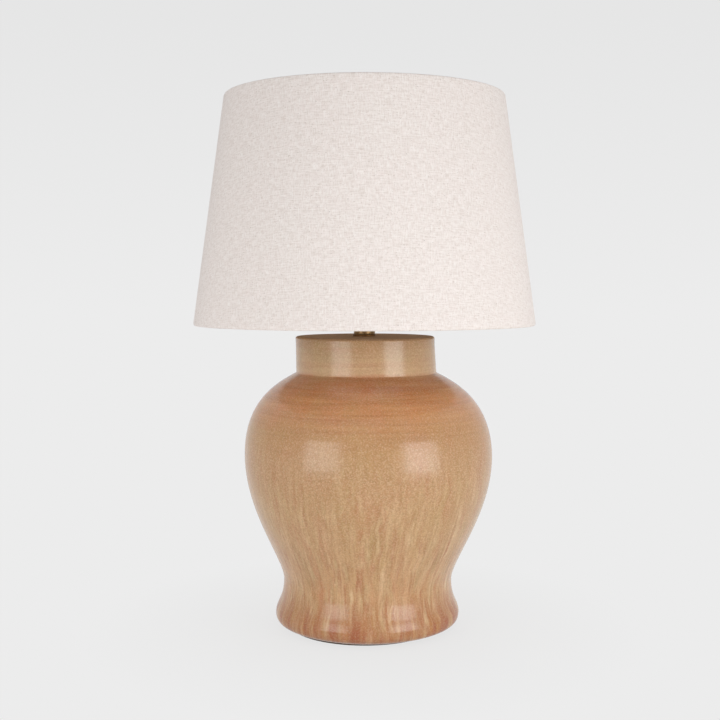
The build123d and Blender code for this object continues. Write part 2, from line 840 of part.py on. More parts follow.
# ---------------------------------------------------------------- all pieces by name

pieces = {
    "base_felt": make_felt(),
    "jar_body": make_jar(),
    "cord_bushing": make_cord_bushing(),
    "threaded_pipe": make_pipe(),
    "base_rubber_washer": make_rubber_washer(),
    "base_steel_washer": make_steel_washer(),
    "base_lock_washer": make_lock_washer(),
    "base_nut": make_nut(),
    "neck_seat": make_seat(),
    "brass_neck": make_neck(),
    "harp_saddle": make_saddle(),
    "harp": make_harp(),
    "harp_bracket": make_bracket(),
    "harp_stud": make_stud(),
    "ferrule_left": make_ferrule(-1),
    "ferrule_right": make_ferrule(1),
    "socket_cap": make_socket_cap(),
    "socket_set_screw": make_set_screw(),
    "socket_shell": make_socket_shell(),
    "socket_sleeve": make_socket_sleeve(),
    "socket_body_lower": make_body_half(body_low, switch_level),
    "socket_body_upper": make_body_half(switch_level, body_top),
    "body_rivets": make_body_rivets(),
    "terminal_screws": make_terminal_screws(),
    "screw_shell": make_screw_shell(),
    "centre_contact": make_centre_contact(),
    "knob_bushing": make_knob_bushing(),
    "switch_stem": make_switch_stem(),
    "switch_rotor": make_switch_rotor(),
    "switch_knob": make_switch_knob(),
    "bulb_glass": make_bulb_glass(),
    "bulb_tip": make_bulb_tip(),
    "bulb_insulator": make_bulb_insulator(),
    "bulb_cap": make_bulb_cap(),
    "bulb_stem": make_bulb_stem(),
    "bulb_filament": make_filament(),
    "shade_linen": make_shade_linen(),
    "shade_liner": make_shade_liner(),
    "shade_top_ring": make_ring_wire(top_ring_centre),
    "shade_bottom_ring": make_ring_wire(bottom_ring_centre),
    "spider_washer": make_spider_washer(),
    "finial": make_finial(),
}
for arm_index in range(arm_count):
    pieces[f"spider_arm_{arm_index + 1}"] = make_spider_arm(arm_index)

for name, piece in pieces.items():
    export_step(piece, f"parts/{name}.step")
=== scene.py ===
import math
import bpy
import numpy as np
from mathutils import Matrix, Vector


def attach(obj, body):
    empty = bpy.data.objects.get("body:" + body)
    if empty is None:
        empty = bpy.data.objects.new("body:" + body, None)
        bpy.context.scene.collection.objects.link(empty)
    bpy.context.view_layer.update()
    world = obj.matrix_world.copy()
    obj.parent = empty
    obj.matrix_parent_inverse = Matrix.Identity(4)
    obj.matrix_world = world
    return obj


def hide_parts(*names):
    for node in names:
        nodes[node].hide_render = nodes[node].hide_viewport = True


# A ginger jar lamp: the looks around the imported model. Metres, +Z up, the front is -Y.
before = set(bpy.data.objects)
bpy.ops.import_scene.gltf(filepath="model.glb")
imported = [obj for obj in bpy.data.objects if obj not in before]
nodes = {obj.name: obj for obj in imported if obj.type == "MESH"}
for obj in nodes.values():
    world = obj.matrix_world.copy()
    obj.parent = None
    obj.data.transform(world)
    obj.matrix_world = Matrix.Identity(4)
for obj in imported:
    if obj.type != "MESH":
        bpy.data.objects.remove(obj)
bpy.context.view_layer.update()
mm = 0.001
print("frame loaded:", len(nodes), "nodes")


# Turns an sRGB hex colour into linear RGBA.
def linearColour(hexColour, alpha=1.0):
    parts = [int(hexColour[start:start + 2], 16) / 255 for start in (1, 3, 5)]
    return tuple(c / 12.92 if c <= 0.04045 else ((c + 0.055) / 1.055) ** 2.4
                 for c in parts) + (alpha,)


# Fills a node's inputs: with plain values, or with links from sockets or from the first
# outputs of other nodes.
def fillInputs(tree, node, inputs):
    for key, value in inputs.items():
        if isinstance(value, bpy.types.Node):
            value = value.outputs[0]
        if isinstance(value, bpy.types.NodeSocket):
            tree.links.new(value, node.inputs[key])
        else:
            node.inputs[key].default_value = value


# Adds one node: settings are its own properties.
def addNode(tree, kind, inputs=None, **settings):
    node = tree.nodes.new(kind)
    for name, value in settings.items():
        setattr(node, name, value)
    fillInputs(tree, node, inputs or {})
    return node


# A new material with its tree and its Principled shader, whose plain sockets are set here.
def startMaterial(name, **sockets):
    material = bpy.data.materials.new(name)
    material.use_nodes = True
    tree = material.node_tree
    shader = tree.nodes["Principled BSDF"]
    fillInputs(tree, shader, {key.replace("_", " "): value for key, value in sockets.items()})
    return material, tree, shader


# A noise pattern with values from low to high. Its grains are size millimetres across,
# longer by stretch along each axis; soft is how much of the noise's range blends.
def grain(tree, place, size, stretch=(1, 1, 1), low=0.0, high=1.0, detail=3.0, centre=0.5,
          soft=0.25, seed=(0, 0, 0)):
    scaled = addNode(tree, "ShaderNodeMapping", {
        "Vector": place, "Location": seed,
        "Scale": tuple(1 / (size * mm * along) for along in stretch)})
    noise = addNode(tree, "ShaderNodeTexNoise", {
        "Vector": scaled, "Scale": 1.0, "Detail": detail, "Roughness": 0.55})
    return addNode(tree, "ShaderNodeMapRange", {
        0: noise, 1: centre - soft, 2: centre + soft, 3: low, 4: high})


# Lays tones over a colour one after another, each as strong as its own pattern says.
def layTones(tree, colour, layers):
    for pattern, tone in layers:
        colour = addNode(tree, "ShaderNodeMix", {0: pattern, 6: colour, 7: linearColour(tone)},
                         data_type="RGBA").outputs[2]
    return colour


# A finish with two tones in soft patches, marks laid over them, uneven gloss and fine relief,
# all sized in millimetres. A mark is its tone, the size, strength, centre and softness of its
# grain, and what else the grain needs. Relief is a grain's size and stretch, and its strength.
# Where a finish is turned, marks and relief depend only on the distance from the lamp's axis
# and on the height, so that they run round it as a tool's lines do.
def makeFinish(name, tones, patch, rough, relief, marks, turned=False, **sockets):
    material, tree, shader = startMaterial(name, **sockets)
    place = addNode(tree, "ShaderNodeTexCoord").outputs["Object"]
    fine = place
    if turned:
        parts = addNode(tree, "ShaderNodeSeparateXYZ", {0: place}).outputs
        level = addNode(tree, "ShaderNodeCombineXYZ", {0: parts[0], 1: parts[1]})
        away = addNode(tree, "ShaderNodeVectorMath", {0: level}, operation="LENGTH")
        fine = addNode(tree, "ShaderNodeCombineXYZ", {0: away.outputs["Value"], 2: parts[2]})
    layers = [(grain(tree, place, patch, detail=4), tones[1])]
    for tone, size, strength, centre, soft, *more in marks:
        pattern = grain(tree, fine, size, high=strength, centre=centre, soft=soft,
                        **(more[0] if more else {}))
        layers.append((pattern, tone))
    size, stretch, strength = relief
    fillInputs(tree, shader, {
        "Base Color": layTones(tree, linearColour(tones[0]), layers),
        "Roughness": grain(tree, fine, patch * 0.4, low=rough[0], high=rough[1], seed=(5, 8, 2)),
        "Normal": addNode(tree, "ShaderNodeBump", {
            "Strength": strength, "Distance": size * 0.25 * mm,
            "Height": grain(tree, fine, size, stretch, detail=2)})})
    return material


# Gives a new piece its material and its body, and hides the CAD node that it stands for.
def placePiece(piece, material, body, node):
    if material:
        piece.data.materials.clear()
        piece.data.materials.append(material)
    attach(piece, body)
    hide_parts(node)


# Gives CAD nodes that stay in view a better material.
def dressNodes(material, *names):
    for name in names:
        for slot in nodes[name].material_slots:
            slot.material = material


# Reads one property of all vertices, corners or faces into an array, with a row for each.
def readAll(items, key, width=3, kind=float):
    values = np.zeros(len(items) * width, kind)
    items.foreach_get(key, values)
    return values.reshape(-1, width)


# Puts vertices and quads into a new mesh object. Smooth faces, with edges sharper than
# crease degrees left crisp.
def meshPiece(name, points, quads, crease):
    mesh = bpy.data.meshes.new(name)
    mesh.from_pydata(points, [], quads)
    mesh.shade_smooth()
    mesh.set_sharp_from_angle(angle=math.radians(crease))
    piece = bpy.data.objects.new(name, mesh)
    bpy.context.scene.collection.objects.link(piece)
    return piece


# Quads of a grid whose last column joins its first, and its last row too where it is a loop.
def gridQuads(rows, columns, loop):
    row = np.arange(rows if loop else rows - 1)[:, None]
    column = np.arange(columns)[None, :]
    nextRow = (row + 1) % rows
    nextColumn = (column + 1) % columns
    corners = [row * columns + column, row * columns + nextColumn,
               nextRow * columns + nextColumn, nextRow * columns + column]
    return np.stack([np.broadcast_to(c, (len(row), columns)) for c in corners],
                    axis=-1).reshape(-1, 4)


# Angles evenly spaced round a whole turn.
def evenAngles(count):
    return np.linspace(0, 2 * math.pi, count, endpoint=False)


# A turned surface from radii and heights in millimetres, one for each row or for each row and
# angle: the point at angle a is (radius cos a, radius sin a, height). A profile goes up its
# outside. Where it isn't a loop, each end closes at a pole on the axis, at the end row's own
# mean height.
def turnedPiece(name, radii, heights, angles, loop=True, crease=35.0):
    radii, heights, angles = np.broadcast_arrays(radii, heights, angles)
    rows, columns = radii.shape
    points = np.stack([radii * np.cos(angles), radii * np.sin(angles), heights], axis=-1)
    points = points.reshape(-1, 3) * mm
    faces = gridQuads(rows, columns, loop).tolist()
    if not loop:
        around = np.arange(columns)
        after = (around + 1) % columns
        last = (rows - 1) * columns
        for level, first, second in ((heights[0], after, around),
                                     (heights[-1], last + around, last + after)):
            points = np.vstack([points, [[0, 0, level.mean() * mm]]])
            pole = np.full(columns, len(points) - 1)
            faces += np.stack([first, second, pole], axis=1).tolist()
    return meshPiece(name, points.tolist(), faces, crease)


# The same, from one outline of (radius, height) that is the same all the way round.
def turnedOutline(name, outline, columns, loop=False):
    return turnedPiece(name, outline[:, :1], outline[:, 1:], evenAngles(columns), loop)


# Joins stretches of a turned profile into its radii and heights. A stretch is an outline of
# (radius, height), or a pair: radii that change round the axis, a row for each of its heights.
def joinStretches(columns, *stretches):
    pairs = [part if isinstance(part, tuple) else (part[:, :1], part[:, 1]) for part in stretches]
    radii = np.vstack([np.broadcast_to(radius, (len(high), columns)) for radius, high in pairs])
    return radii, np.concatenate([high for radius, high in pairs])[:, None]


# Points along a cubic curve, the last one left out: the sum of its four corners with the
# weights (1-t)^3, 3t(1-t)^2, 3t^2(1-t) and t^3, with t from 0 to 1.
def curvePoints(first, second, third, fourth, count):
    t = np.linspace(0, 1, count, endpoint=False)[:, None]
    corners = [np.asarray(c, float) for c in (first, second, third, fourth)]
    return ((1 - t) ** 3 * corners[0] + 3 * t * (1 - t) ** 2 * corners[1]
            + 3 * t ** 2 * (1 - t) * corners[2] + t ** 3 * corners[3])


# Points along an arc about a centre, from one angle in degrees to another.
def arcPoints(centre, radius, start, end, count):
    turn = np.radians(np.linspace(start, end, count))
    return np.stack([centre[0] + radius * np.cos(turn), centre[1] + radius * np.sin(turn)], axis=1)


# Points in a straight line, the last one left out.
def linePoints(first, last, count):
    t = np.linspace(0, 1, count, endpoint=False)[:, None]
    return (1 - t) * np.asarray(first, float) + t * np.asarray(last, float)


# Radii of a screw thread: from the crest inwards by the depth times a wave of (height over
# pitch - turns), flat-sided where it is sharp and a cosine where it is rolled.
def threadRadii(crest, depth, pitch, heights, angles, rolled=False):
    turns = heights[:, None] / pitch - angles / (2 * math.pi)
    wave = (0.5 - 0.5 * np.cos(2 * math.pi * turns)) if rolled else 2 * np.abs(turns % 1 - 0.5)
    return crest - depth * wave


# Points round a square convex corner, from one direction to another, for a small rounded edge.
def roundedCorner(corner, radius, start, end, count=4):
    middle = math.radians((start + end) / 2)
    reach = radius * math.sqrt(2)
    centre = (corner[0] - reach * math.cos(middle), corner[1] - reach * math.sin(middle))
    return arcPoints(centre, radius, start, end, count)


# Cuts shapes out of a piece for good, and takes the cutting shapes away.
def cutAway(piece, cutters):
    for cutter in cutters:
        cut = piece.modifiers.new("cut", "BOOLEAN")
        cut.operation = "DIFFERENCE"
        cut.solver = "EXACT"
        cut.object = cutter
    shapes = bpy.context.evaluated_depsgraph_get()
    finished = bpy.data.meshes.new_from_object(piece.evaluated_get(shapes))
    piece.modifiers.clear()
    piece.data = finished
    for cutter in cutters:
        bpy.data.objects.remove(cutter)


# The camera: lens and sensor in millimetres, its place in metres and its tilt in degrees.
camera = {"lens": 57.95, "sensor": 36.0, "distance": 1.391, "height": 0.4097,
          "pitchDown": 3.64, "aside": -0.0053}
cameraData = bpy.data.cameras.new("camera")
cameraData.lens = camera["lens"]
cameraData.sensor_width = camera["sensor"]
cameraData.clip_start = 0.05
cameraData.clip_end = 60
cameraObject = bpy.data.objects.new("camera", cameraData)
cameraObject.location = (camera["aside"], -camera["distance"], camera["height"])
cameraObject.rotation_euler = (math.radians(90 - camera["pitchDown"]), 0, 0)
bpy.context.scene.collection.objects.link(cameraObject)
bpy.context.scene.camera = cameraObject
print("camera placed")

# The jar, in millimetres. A named point is a radius and a height over the felt, and a level is
# a height over the table.
jar = {"low": 2.0, "top": 350.0, "wall": 7.0,
       "edge": (93.6, 0.0), "foot": (110.8, 15.0), "waist": (101.25, 55.2),
       "belly": (148.6, 206.0), "neckRoot": (84.3, 304.6), "neckTop": 83.4,
       "edgeSlope": 20.8, "edgeReach": 10.9, "footDown": 11.05, "footUp": 11.0,
       "waistDown": 24.7, "waistUp": 25.4, "bellyDown": 68.5, "bellyUp": 64.8,
       "shoulderSlope": 27.0, "shoulderReach": 26.9, "rimRound": 2.8, "rootRound": 2.2,
       "edgeRound": 0.8, "landWidth": 6.6, "recessReach": 8.0, "floorLow": 26.0,
       "floorTop": 34.0, "ceiling": 343.0, "ceilingRound": 0.9, "pipeHole": 5.7,
       "columns": 216, "outerRows": (22, 40, 84, 72), "innerRows": (12, 8, 22, 22),
       "ridge": 0.09, "ridgeSpacing": 8.5, "wobble": 0.25, "plainBelow": 6.0,
       "fadeIn": 12.0, "plainAbove": 346.0, "fadeOut": 6.0, "shoulderLevel": 282.0,
       "shoulderSpread": 30.0, "leanLevels": (2, 57, 130, 206, 262, 306, 350),
       "leans": (3.4, 4.2, 4.6, 4.7, 3.8, 1.8, 0.8), "uprightWithin": 25.0, "leanOver": 45.0,
       "cordHole": 4.75, "spotFace": 7.7, "spotDepth": 108.2, "cordLevel": 17.0, "cutPast": 9.0}


# The jar's outer line, drawn in by a wall: four cubic curves from the edge under the foot to
# the neck's root, in millimetres. Drawn in, the root is where the shoulder's and the neck's
# lines meet again.
def jarLine(inset, rows):
    lift, slope = math.radians(jar["edgeSlope"]), math.radians(jar["shoulderSlope"])
    edge, foot, waist, belly, root = [
        np.array(jar[key]) + (-inset, jar["low"])
        for key in ("edge", "foot", "waist", "belly", "neckRoot")]
    root[1] -= inset * (math.cos(slope) - (1 - math.sin(slope)) * math.tan(slope))
    leaving = (edge + jar["edgeReach"] * np.array([math.cos(lift), math.sin(lift)]),
               foot + (0, jar["footUp"]), waist + (0, jar["waistUp"]),
               belly + (0, jar["bellyUp"]))
    arriving = (foot - (0, jar["footDown"]), waist - (0, jar["waistDown"]),
                belly - (0, jar["bellyDown"]),
                root + jar["shoulderReach"] * np.array([math.cos(slope), -math.sin(slope)]))
    line = [curvePoints(*corners) for corners in zip(
        (edge, foot, waist, belly), leaving, arriving, (foot, waist, belly, root), rows)]
    return np.vstack(line), root


# A thrown pot is never quite upright: each level moves sideways by a smooth curve of its
# height, less and less towards the pipe's holes on the axis.
def leanJar(piece):
    points = readAll(piece.data.vertices, "co")
    bend = np.polyfit(jar["leanLevels"], jar["leans"], 4)
    away = np.hypot(points[:, 0], points[:, 1]) / mm
    out = np.clip((away - jar["uprightWithin"]) / jar["leanOver"], 0, 1)
    points[:, 0] += np.polyval(bend, points[:, 2] / mm) * out * out * (3 - 2 * out) * mm
    piece.data.vertices.foreach_set("co", points.ravel())


# The jar: its closed outline turned about the axis. Its outside also carries low throwing
# ridges, a sine of height and half a turn, and a slow wobble of the radius round the pot.
def makeJar():
    low, top, wide, hole = jar["low"], jar["top"], jar["neckTop"], jar["pipeHole"]
    ceiling, floorTop, floorLow = jar["ceiling"], jar["floorTop"], jar["floorLow"]
    rim, small, soft = jar["rimRound"], jar["edgeRound"], jar["rootRound"]
    slope = math.radians(jar["shoulderSlope"])
    outer, root = jarLine(0, jar["outerRows"])
    below = (root[0] + soft * math.cos(slope), root[1] - soft * math.sin(slope))
    above = (root[0], root[1] + soft)
    outside = np.vstack([
        outer[1:-2], curvePoints(below, root, root, above, 6),
        linePoints(above, (wide, top - rim), 30),
        arcPoints((wide - rim, top - rim), rim, 0, 90, 9)])
    inner, innerRoot = jarLine(jar["wall"], jar["innerRows"])
    inner = inner[inner[:, 1] > floorTop + 0.5]
    ceilingEdge = (innerRoot[0] - jar["ceilingRound"], ceiling)
    inside = np.vstack([
        linePoints((wide - rim, top), (hole, top), 20)[1:],
        linePoints((hole, top), (hole, ceiling), 3), linePoints((hole, ceiling), ceilingEdge, 6),
        linePoints(ceilingEdge, innerRoot, 6), inner[::-1], [[inner[0, 0], floorTop]],
        linePoints((inner[0, 0] - 2, floorTop), (hole, floorTop), 6),
        linePoints((hole, floorTop), (hole, floorLow), 3)])
    side = (jar["foot"][0] - jar["wall"], jar["foot"][1] + low)
    land = (jar["edge"][0] - jar["landWidth"], low)
    bare = np.vstack([
        linePoints((hole, floorLow), (side[0], floorLow), 6),
        linePoints((side[0], floorLow), side, 4),
        curvePoints(side, (side[0], side[1] - jar["recessReach"]),
                    (land[0], low + jar["recessReach"]), land, 12),
        [[land[0] + small * 0.3, low + 0.05]],
        linePoints((land[0] + small, low), (jar["edge"][0] - small * 0.3, low), 4)])
    angles = evenAngles(jar["columns"])
    z = outside[:, 1:]
    fade = (np.clip((z - jar["plainBelow"]) / jar["fadeIn"], 0, 1)
            * np.clip((jar["plainAbove"] - z) / jar["fadeOut"], 0, 1))
    shoulder = np.exp(-((z - jar["shoulderLevel"]) / jar["shoulderSpread"]) ** 2)
    # slower sines shift and fade the ridges, so that no two of them are alike
    ridge = np.sin(2 * math.pi * z / jar["ridgeSpacing"] + angles + 1.3 * np.sin(z / 31.0))
    ridge = ridge * (0.45 + 0.55 * np.sin(z / 19.0 + 1.0) ** 2) * (0.5 + shoulder)
    wobble = np.sin(2 * angles + z / 70.0) + 0.6 * np.sin(3 * angles - z / 45.0 + 1.1)
    thrown = outside[:, :1] + (jar["ridge"] * ridge + jar["wobble"] * wobble) * fade
    radii, heights = joinStretches(len(angles), (thrown, outside[:, 1]), inside, bare)
    piece = turnedPiece("glazed_stoneware_jar", radii, heights, angles, crease=50)
    leanJar(piece)
    faceRow = np.arange(len(piece.data.polygons)) // jar["columns"]
    return piece, (faceRow >= len(heights) - len(bare)).astype(np.int32)


jarPiece, jarSlots = makeJar()


# The cutters for the cord's way out at the back: a round hole and a shallow flat round it.
def jarCutters():
    made = []
    end = jar["foot"][0] + jar["cutPast"]
    for radius, start in ((jar["cordHole"], jar["foot"][0] - 3 * jar["wall"]),
                          (jar["spotFace"], jar["spotDepth"])):
        bpy.ops.mesh.primitive_cylinder_add(vertices=48, radius=radius * mm,
                                            depth=(end - start) * mm)
        cutter = bpy.context.object
        middle = Matrix.Translation((0, (start + end) / 2 * mm, jar["cordLevel"] * mm))
        cutter.data.transform(middle @ Matrix.Rotation(math.radians(-90), 4, "X"))
        made.append(cutter)
    return made


# Glazed stoneware: a thrown pot, dipped in an iron-bearing satin glaze and fired. The glaze
# breaks to red-brown where it is thin, on the shoulder and foot, pools to tan-gold on the belly
# and runs down in streaks; fine crystals give it a granular look. The rim and the top are a
# darker brown, partly thin glaze and partly painted shade from the lamp shade above, and the
# foot's lower edge has a painted shadow line. Its colours change with the share of its height.
# A zone is two heights in metres and the strengths at them.
glaze = {"speckle": 1.8, "speckleDepth": 0.4, "unrolled": 0.12, "height": 0.35,
         "levels": ((0.0, "#b07042"), (0.05, "#bd833f"), (0.11, "#be8754"), (0.2, "#d3a574"),
                    (0.4, "#c19a69"), (0.6, "#b98c60"), (0.7, "#b98853"), (0.78, "#d78e5b"),
                    (0.835, "#ca7435"), (0.862, "#ba693a"), (0.884, "#cfad84"),
                    (0.95, "#ab926a"), (1.0, "#917147")),
         "zones": {"runs": (0.26, 0.18, 0.05, 1), "streaks": (0.25, 0.1, 0, 1),
                   "foot": (0.055, 0.02, 0, 1), "lines": (0.215, 0.29, 0, 1),
                   "neckLines": (0.304, 0.308, 1, 0.4), "edge": (0.0065, 0.0035, 0, 0.8),
                   "rim": (0.3472, 0.3488, 0, 0.94), "lowGrit": (0.03, 0.2, 0.55, 1),
                   "highGrit": (0.2, 0.26, 1, 0.7)}}


def makeGlaze():
    material, tree, shader = startMaterial("satinIronGlaze", IOR=1.52)
    place = addNode(tree, "ShaderNodeTexCoord").outputs["Object"]
    parts = addNode(tree, "ShaderNodeSeparateXYZ", {0: place}).outputs
    height = parts[2]
    zone = {name: addNode(tree, "ShaderNodeMapRange", {
        0: height, 1: start, 2: end, 3: before, 4: after})
        for name, (start, end, before, after) in glaze["zones"].items()}
    # a place on the unrolled pot: the direction from the axis, 120 mm long, and the height
    level = addNode(tree, "ShaderNodeCombineXYZ", {0: parts[0], 1: parts[1]})
    facing = addNode(tree, "ShaderNodeVectorMath", {0: level}, operation="NORMALIZE")
    upward = addNode(tree, "ShaderNodeCombineXYZ", {2: height})
    flow = addNode(tree, "ShaderNodeVectorMath", {
        0: facing, 1: (glaze["unrolled"],) * 3, 2: upward}, operation="MULTIPLY_ADD")
    # the runs wander a little on their way down
    drift = grain(tree, flow, 24, (1, 1, 1.4), -0.0022, 0.0022, detail=2, seed=(4, 6, 2))
    sideways = addNode(tree, "ShaderNodeCombineXYZ", {0: drift, 1: drift})
    flow = addNode(tree, "ShaderNodeVectorMath", {0: flow, 1: sideways}, operation="ADD")
    # the height that the colours follow, shifted by runs of the glaze and by bands
    band = grain(tree, flow, 9, (9, 9, 1), -0.0035, 0.0035, seed=(3, 1, 2))
    run = grain(tree, flow, 13, (1, 1, 5), -0.02, 0.02, seed=(7, 2, 5))
    shifted = addNode(tree, "ShaderNodeMath", {0: run, 1: zone["runs"], 2: height},
                      operation="MULTIPLY_ADD")
    shifted = addNode(tree, "ShaderNodeMath", {0: shifted, 1: band}, operation="ADD")
    share = addNode(tree, "ShaderNodeMath", {0: shifted, 1: glaze["height"]}, operation="DIVIDE")
    ramp = addNode(tree, "ShaderNodeValToRGB", {0: share})
    elements = ramp.color_ramp.elements
    while len(elements) < len(glaze["levels"]):
        elements.new(0.5)
    for element, (at, colour) in zip(elements, glaze["levels"]):
        element.position = at
    for element, (at, colour) in zip(elements, glaze["levels"]):
        element.color = linearColour(colour)
    # broad patches where the glaze lies thicker or thinner, drawn out downwards
    layers = [(grain(tree, flow, 30, (1, 1, 2.6), 0, 0.42, seed=(2, 2, 8)), "#d3987a"),
              (grain(tree, flow, 24, (1, 1, 2.8), 0, 0.4, seed=(9, 4, 1)), "#c0a066")]
    # where the streaks lie: they break up along their length and fade out above the belly
    broken = grain(tree, flow, 22, (1, 1, 1.7), 0.1, 1.0, soft=0.16, seed=(1, 7, 3))
    partly = grain(tree, flow, 17, (1, 1, 2.0), 0.12, 1.0, soft=0.15, seed=(6, 1, 3))
    broken, partly, lined, calm = [
        addNode(tree, "ShaderNodeMath", {0: first, 1: second}, operation="MULTIPLY")
        for first, second in ((broken, zone["streaks"]), (partly, zone["streaks"]),
                              (zone["lines"], zone["neckLines"]),
                              (zone["highGrit"], zone["lowGrit"]))]
    # streaks, then red bars on the foot, where runs reach it, then throwing lines on the
    # shoulder and the neck, dark and red, with a pale one here and there
    for share, tone, size, stretch, low, high, centre, soft, seed in (
            (broken, "#b7693f", 10, (1, 1, 6), 0, 0.9, 0.6, 0.08, (1, 4, 9)),
            (broken, "#ad6540", 5.5, (1, 1, 8), 0, 0.88, 0.61, 0.07, (3, 3, 6)),
            (partly, "#b07650", 3.2, (1, 1, 9), 0, 0.95, 0.54, 0.13, (8, 3, 1)),
            (partly, "#e8c79b", 3.6, (1, 1, 10), 0, 0.95, 0.54, 0.13, (2, 9, 4)),
            (partly, "#b08d58", 6.5, (1, 1, 7), 0, 0.62, 0.55, 0.1, (5, 5, 5)),
            (zone["foot"], "#a55a35", 10, (1, 1, 6), 0.08, 0.95, 0.5, 0.13, (4, 8, 8)),
            (lined, "#9c5d36", 3.4, (28, 28, 1), 0, 0.42, 0.56, 0.13, (5, 5, 0)),
            (lined, "#dcb57c", 2.6, (28, 28, 1), 0, 0.35, 0.62, 0.13, (1, 1, 7)),
            (lined, "#b0633c", 6.5, (28, 28, 1), 0, 0.3, 0.52, 0.13, (8, 2, 2))):
        lines = grain(tree, flow, size, stretch, low, high, centre=centre, soft=soft, seed=seed)
        amount = addNode(tree, "ShaderNodeMath", {0: lines, 1: share}, operation="MULTIPLY")
        layers.append((amount, tone))
    # the foot's lower edge gets a thin dark brown band, partly glaze wiped thin there and partly
    # painted shade for the shadow under the rounded foot; the rim and the top get a darker brown,
    # partly thin glaze and partly painted shade from the lamp shade above
    layers += [(zone["edge"], "#6d4a31"), (zone["rim"], "#9a7553")]
    # crystals in the glaze, drawn about 2 mm across so that they show, fewer towards the foot
    size, depth = glaze["speckle"], glaze["speckleDepth"]
    for wide, most, centre, seed, tone in ((1.0, depth, 0.58, (0, 0, 0), "#93683f"),
                                           (0.9, depth, 0.57, (6, 6, 6), "#ecccaa"),
                                           (1.7, depth * 0.6, 0.6, (3, 9, 2), "#93804c")):
        grit = grain(tree, place, size * wide, high=most, detail=4, centre=centre, soft=0.11,
                     seed=seed)
        amount = addNode(tree, "ShaderNodeMath", {0: grit, 1: calm}, operation="MULTIPLY")
        layers.append((amount, tone))
    # satin all over, and drier on the rim and the top
    gloss = grain(tree, flow, 14, (1, 1, 3), 0.18, 0.24)
    dry = addNode(tree, "ShaderNodeMapRange", {0: zone["rim"], 1: 0.5, 2: 0.94, 3: 0, 4: 0.6})
    fillInputs(tree, shader, {
        "Base Color": layTones(tree, ramp, layers),
        "Roughness": addNode(tree, "ShaderNodeMath", {0: gloss, 1: dry}, operation="ADD"),
        "Normal": addNode(tree, "ShaderNodeBump", {
            "Strength": 0.1, "Distance": 0.0003, "Height": grain(tree, place, 2.2, detail=2)})})
    return material


# Bare stoneware: the foot and the hollow under it were wiped clean of glaze, and fired to a
# dry, sandy buff with dark grit in it.
bareClay = makeFinish(
    "bareStoneware", ("#c3a27c", "#b08a63"), 14, (0.8, 0.92), (0.9, (1, 1, 1), 0.4),
    [("#6d4c33", 1.2, 0.8, 0.66, 0.06, {"detail": 2}),
     ("#dcc4a2", 1.6, 0.5, 0.68, 0.07, {"detail": 2, "seed": (4, 4, 4)})])

jarPiece.data.materials.append(makeGlaze())
jarPiece.data.materials.append(bareClay)
jarPiece.data.polygons.foreach_set("material_index", jarSlots)
cutAway(jarPiece, jarCutters())
placePiece(jarPiece, None, "lamp_base", "jar_body")
print("jar turned and glazed")

# The felt pad under the foot, in millimetres.
felt = {"radius": 91.0, "hole": 6.0, "thickness": 2.0, "edgeRound": 0.5, "columns": 160}


# The felt: a flat disc with a rounded cut edge, its lower face on the table.
def makeFelt():
    edge, thick, hole = felt["edgeRound"], felt["thickness"], felt["hole"]
    rim = felt["radius"] - edge
    outline = np.vstack([
        linePoints((hole, 0), (rim, 0), 14), arcPoints((rim, edge), edge, -90, 0, 4),
        arcPoints((rim, thick - edge), edge, 0, 90, 4),
        linePoints((rim - 1, thick), (hole, thick), 14)])
    return turnedOutline("felt_pad", outline, felt["columns"])


# Wool felt: matted fibres pressed flat and cut. Dull and fuzzy, with paler stray fibres,
# drawn three times as coarse as they are so that they show.
woolFelt = makeFinish(
    "woolFelt", ("#503d2b", "#66503b"), 16, (0.9, 1.0), (1.6, (1, 1, 1), 0.6),
    [("#94806a", 1.3, 0.55, 0.6, 0.1, {"stretch": (6, 1, 1)}),
     ("#332619", 1.5, 0.6, 0.62, 0.08, {"stretch": (1, 6, 1), "seed": (3, 3, 1)})],
    Sheen_Weight=0.2, Sheen_Roughness=0.5)

feltPiece = makeFelt()
placePiece(feltPiece, woolFelt, "lamp_base", "base_felt")
print("felt cut")

# The shade, in millimetres. The linen's two faces are measured from the ring wires' middles,
# and notch is the size of the cut for an arm: along it, across it and up.
shade = {"bottomRing": (200.7, 366.0), "topRing": (163.5, 630.5), "inner": 1.8, "outer": 2.5,
         "hemTurn": 250.0, "lap": 12.0, "lapStep": 0.45, "lapRadius": 185.0, "columns": 240,
         "sideRows": 40, "hemRows": 22, "tuckedRows": 4, "insideRows": 16,
         "notch": (5.0, 4.4, 9.0), "threadPitch": 1.6, "cloth": "#f7eee9",
         "clothWarm": "#f8ebe7", "threadDark": "#dfd2ca"}


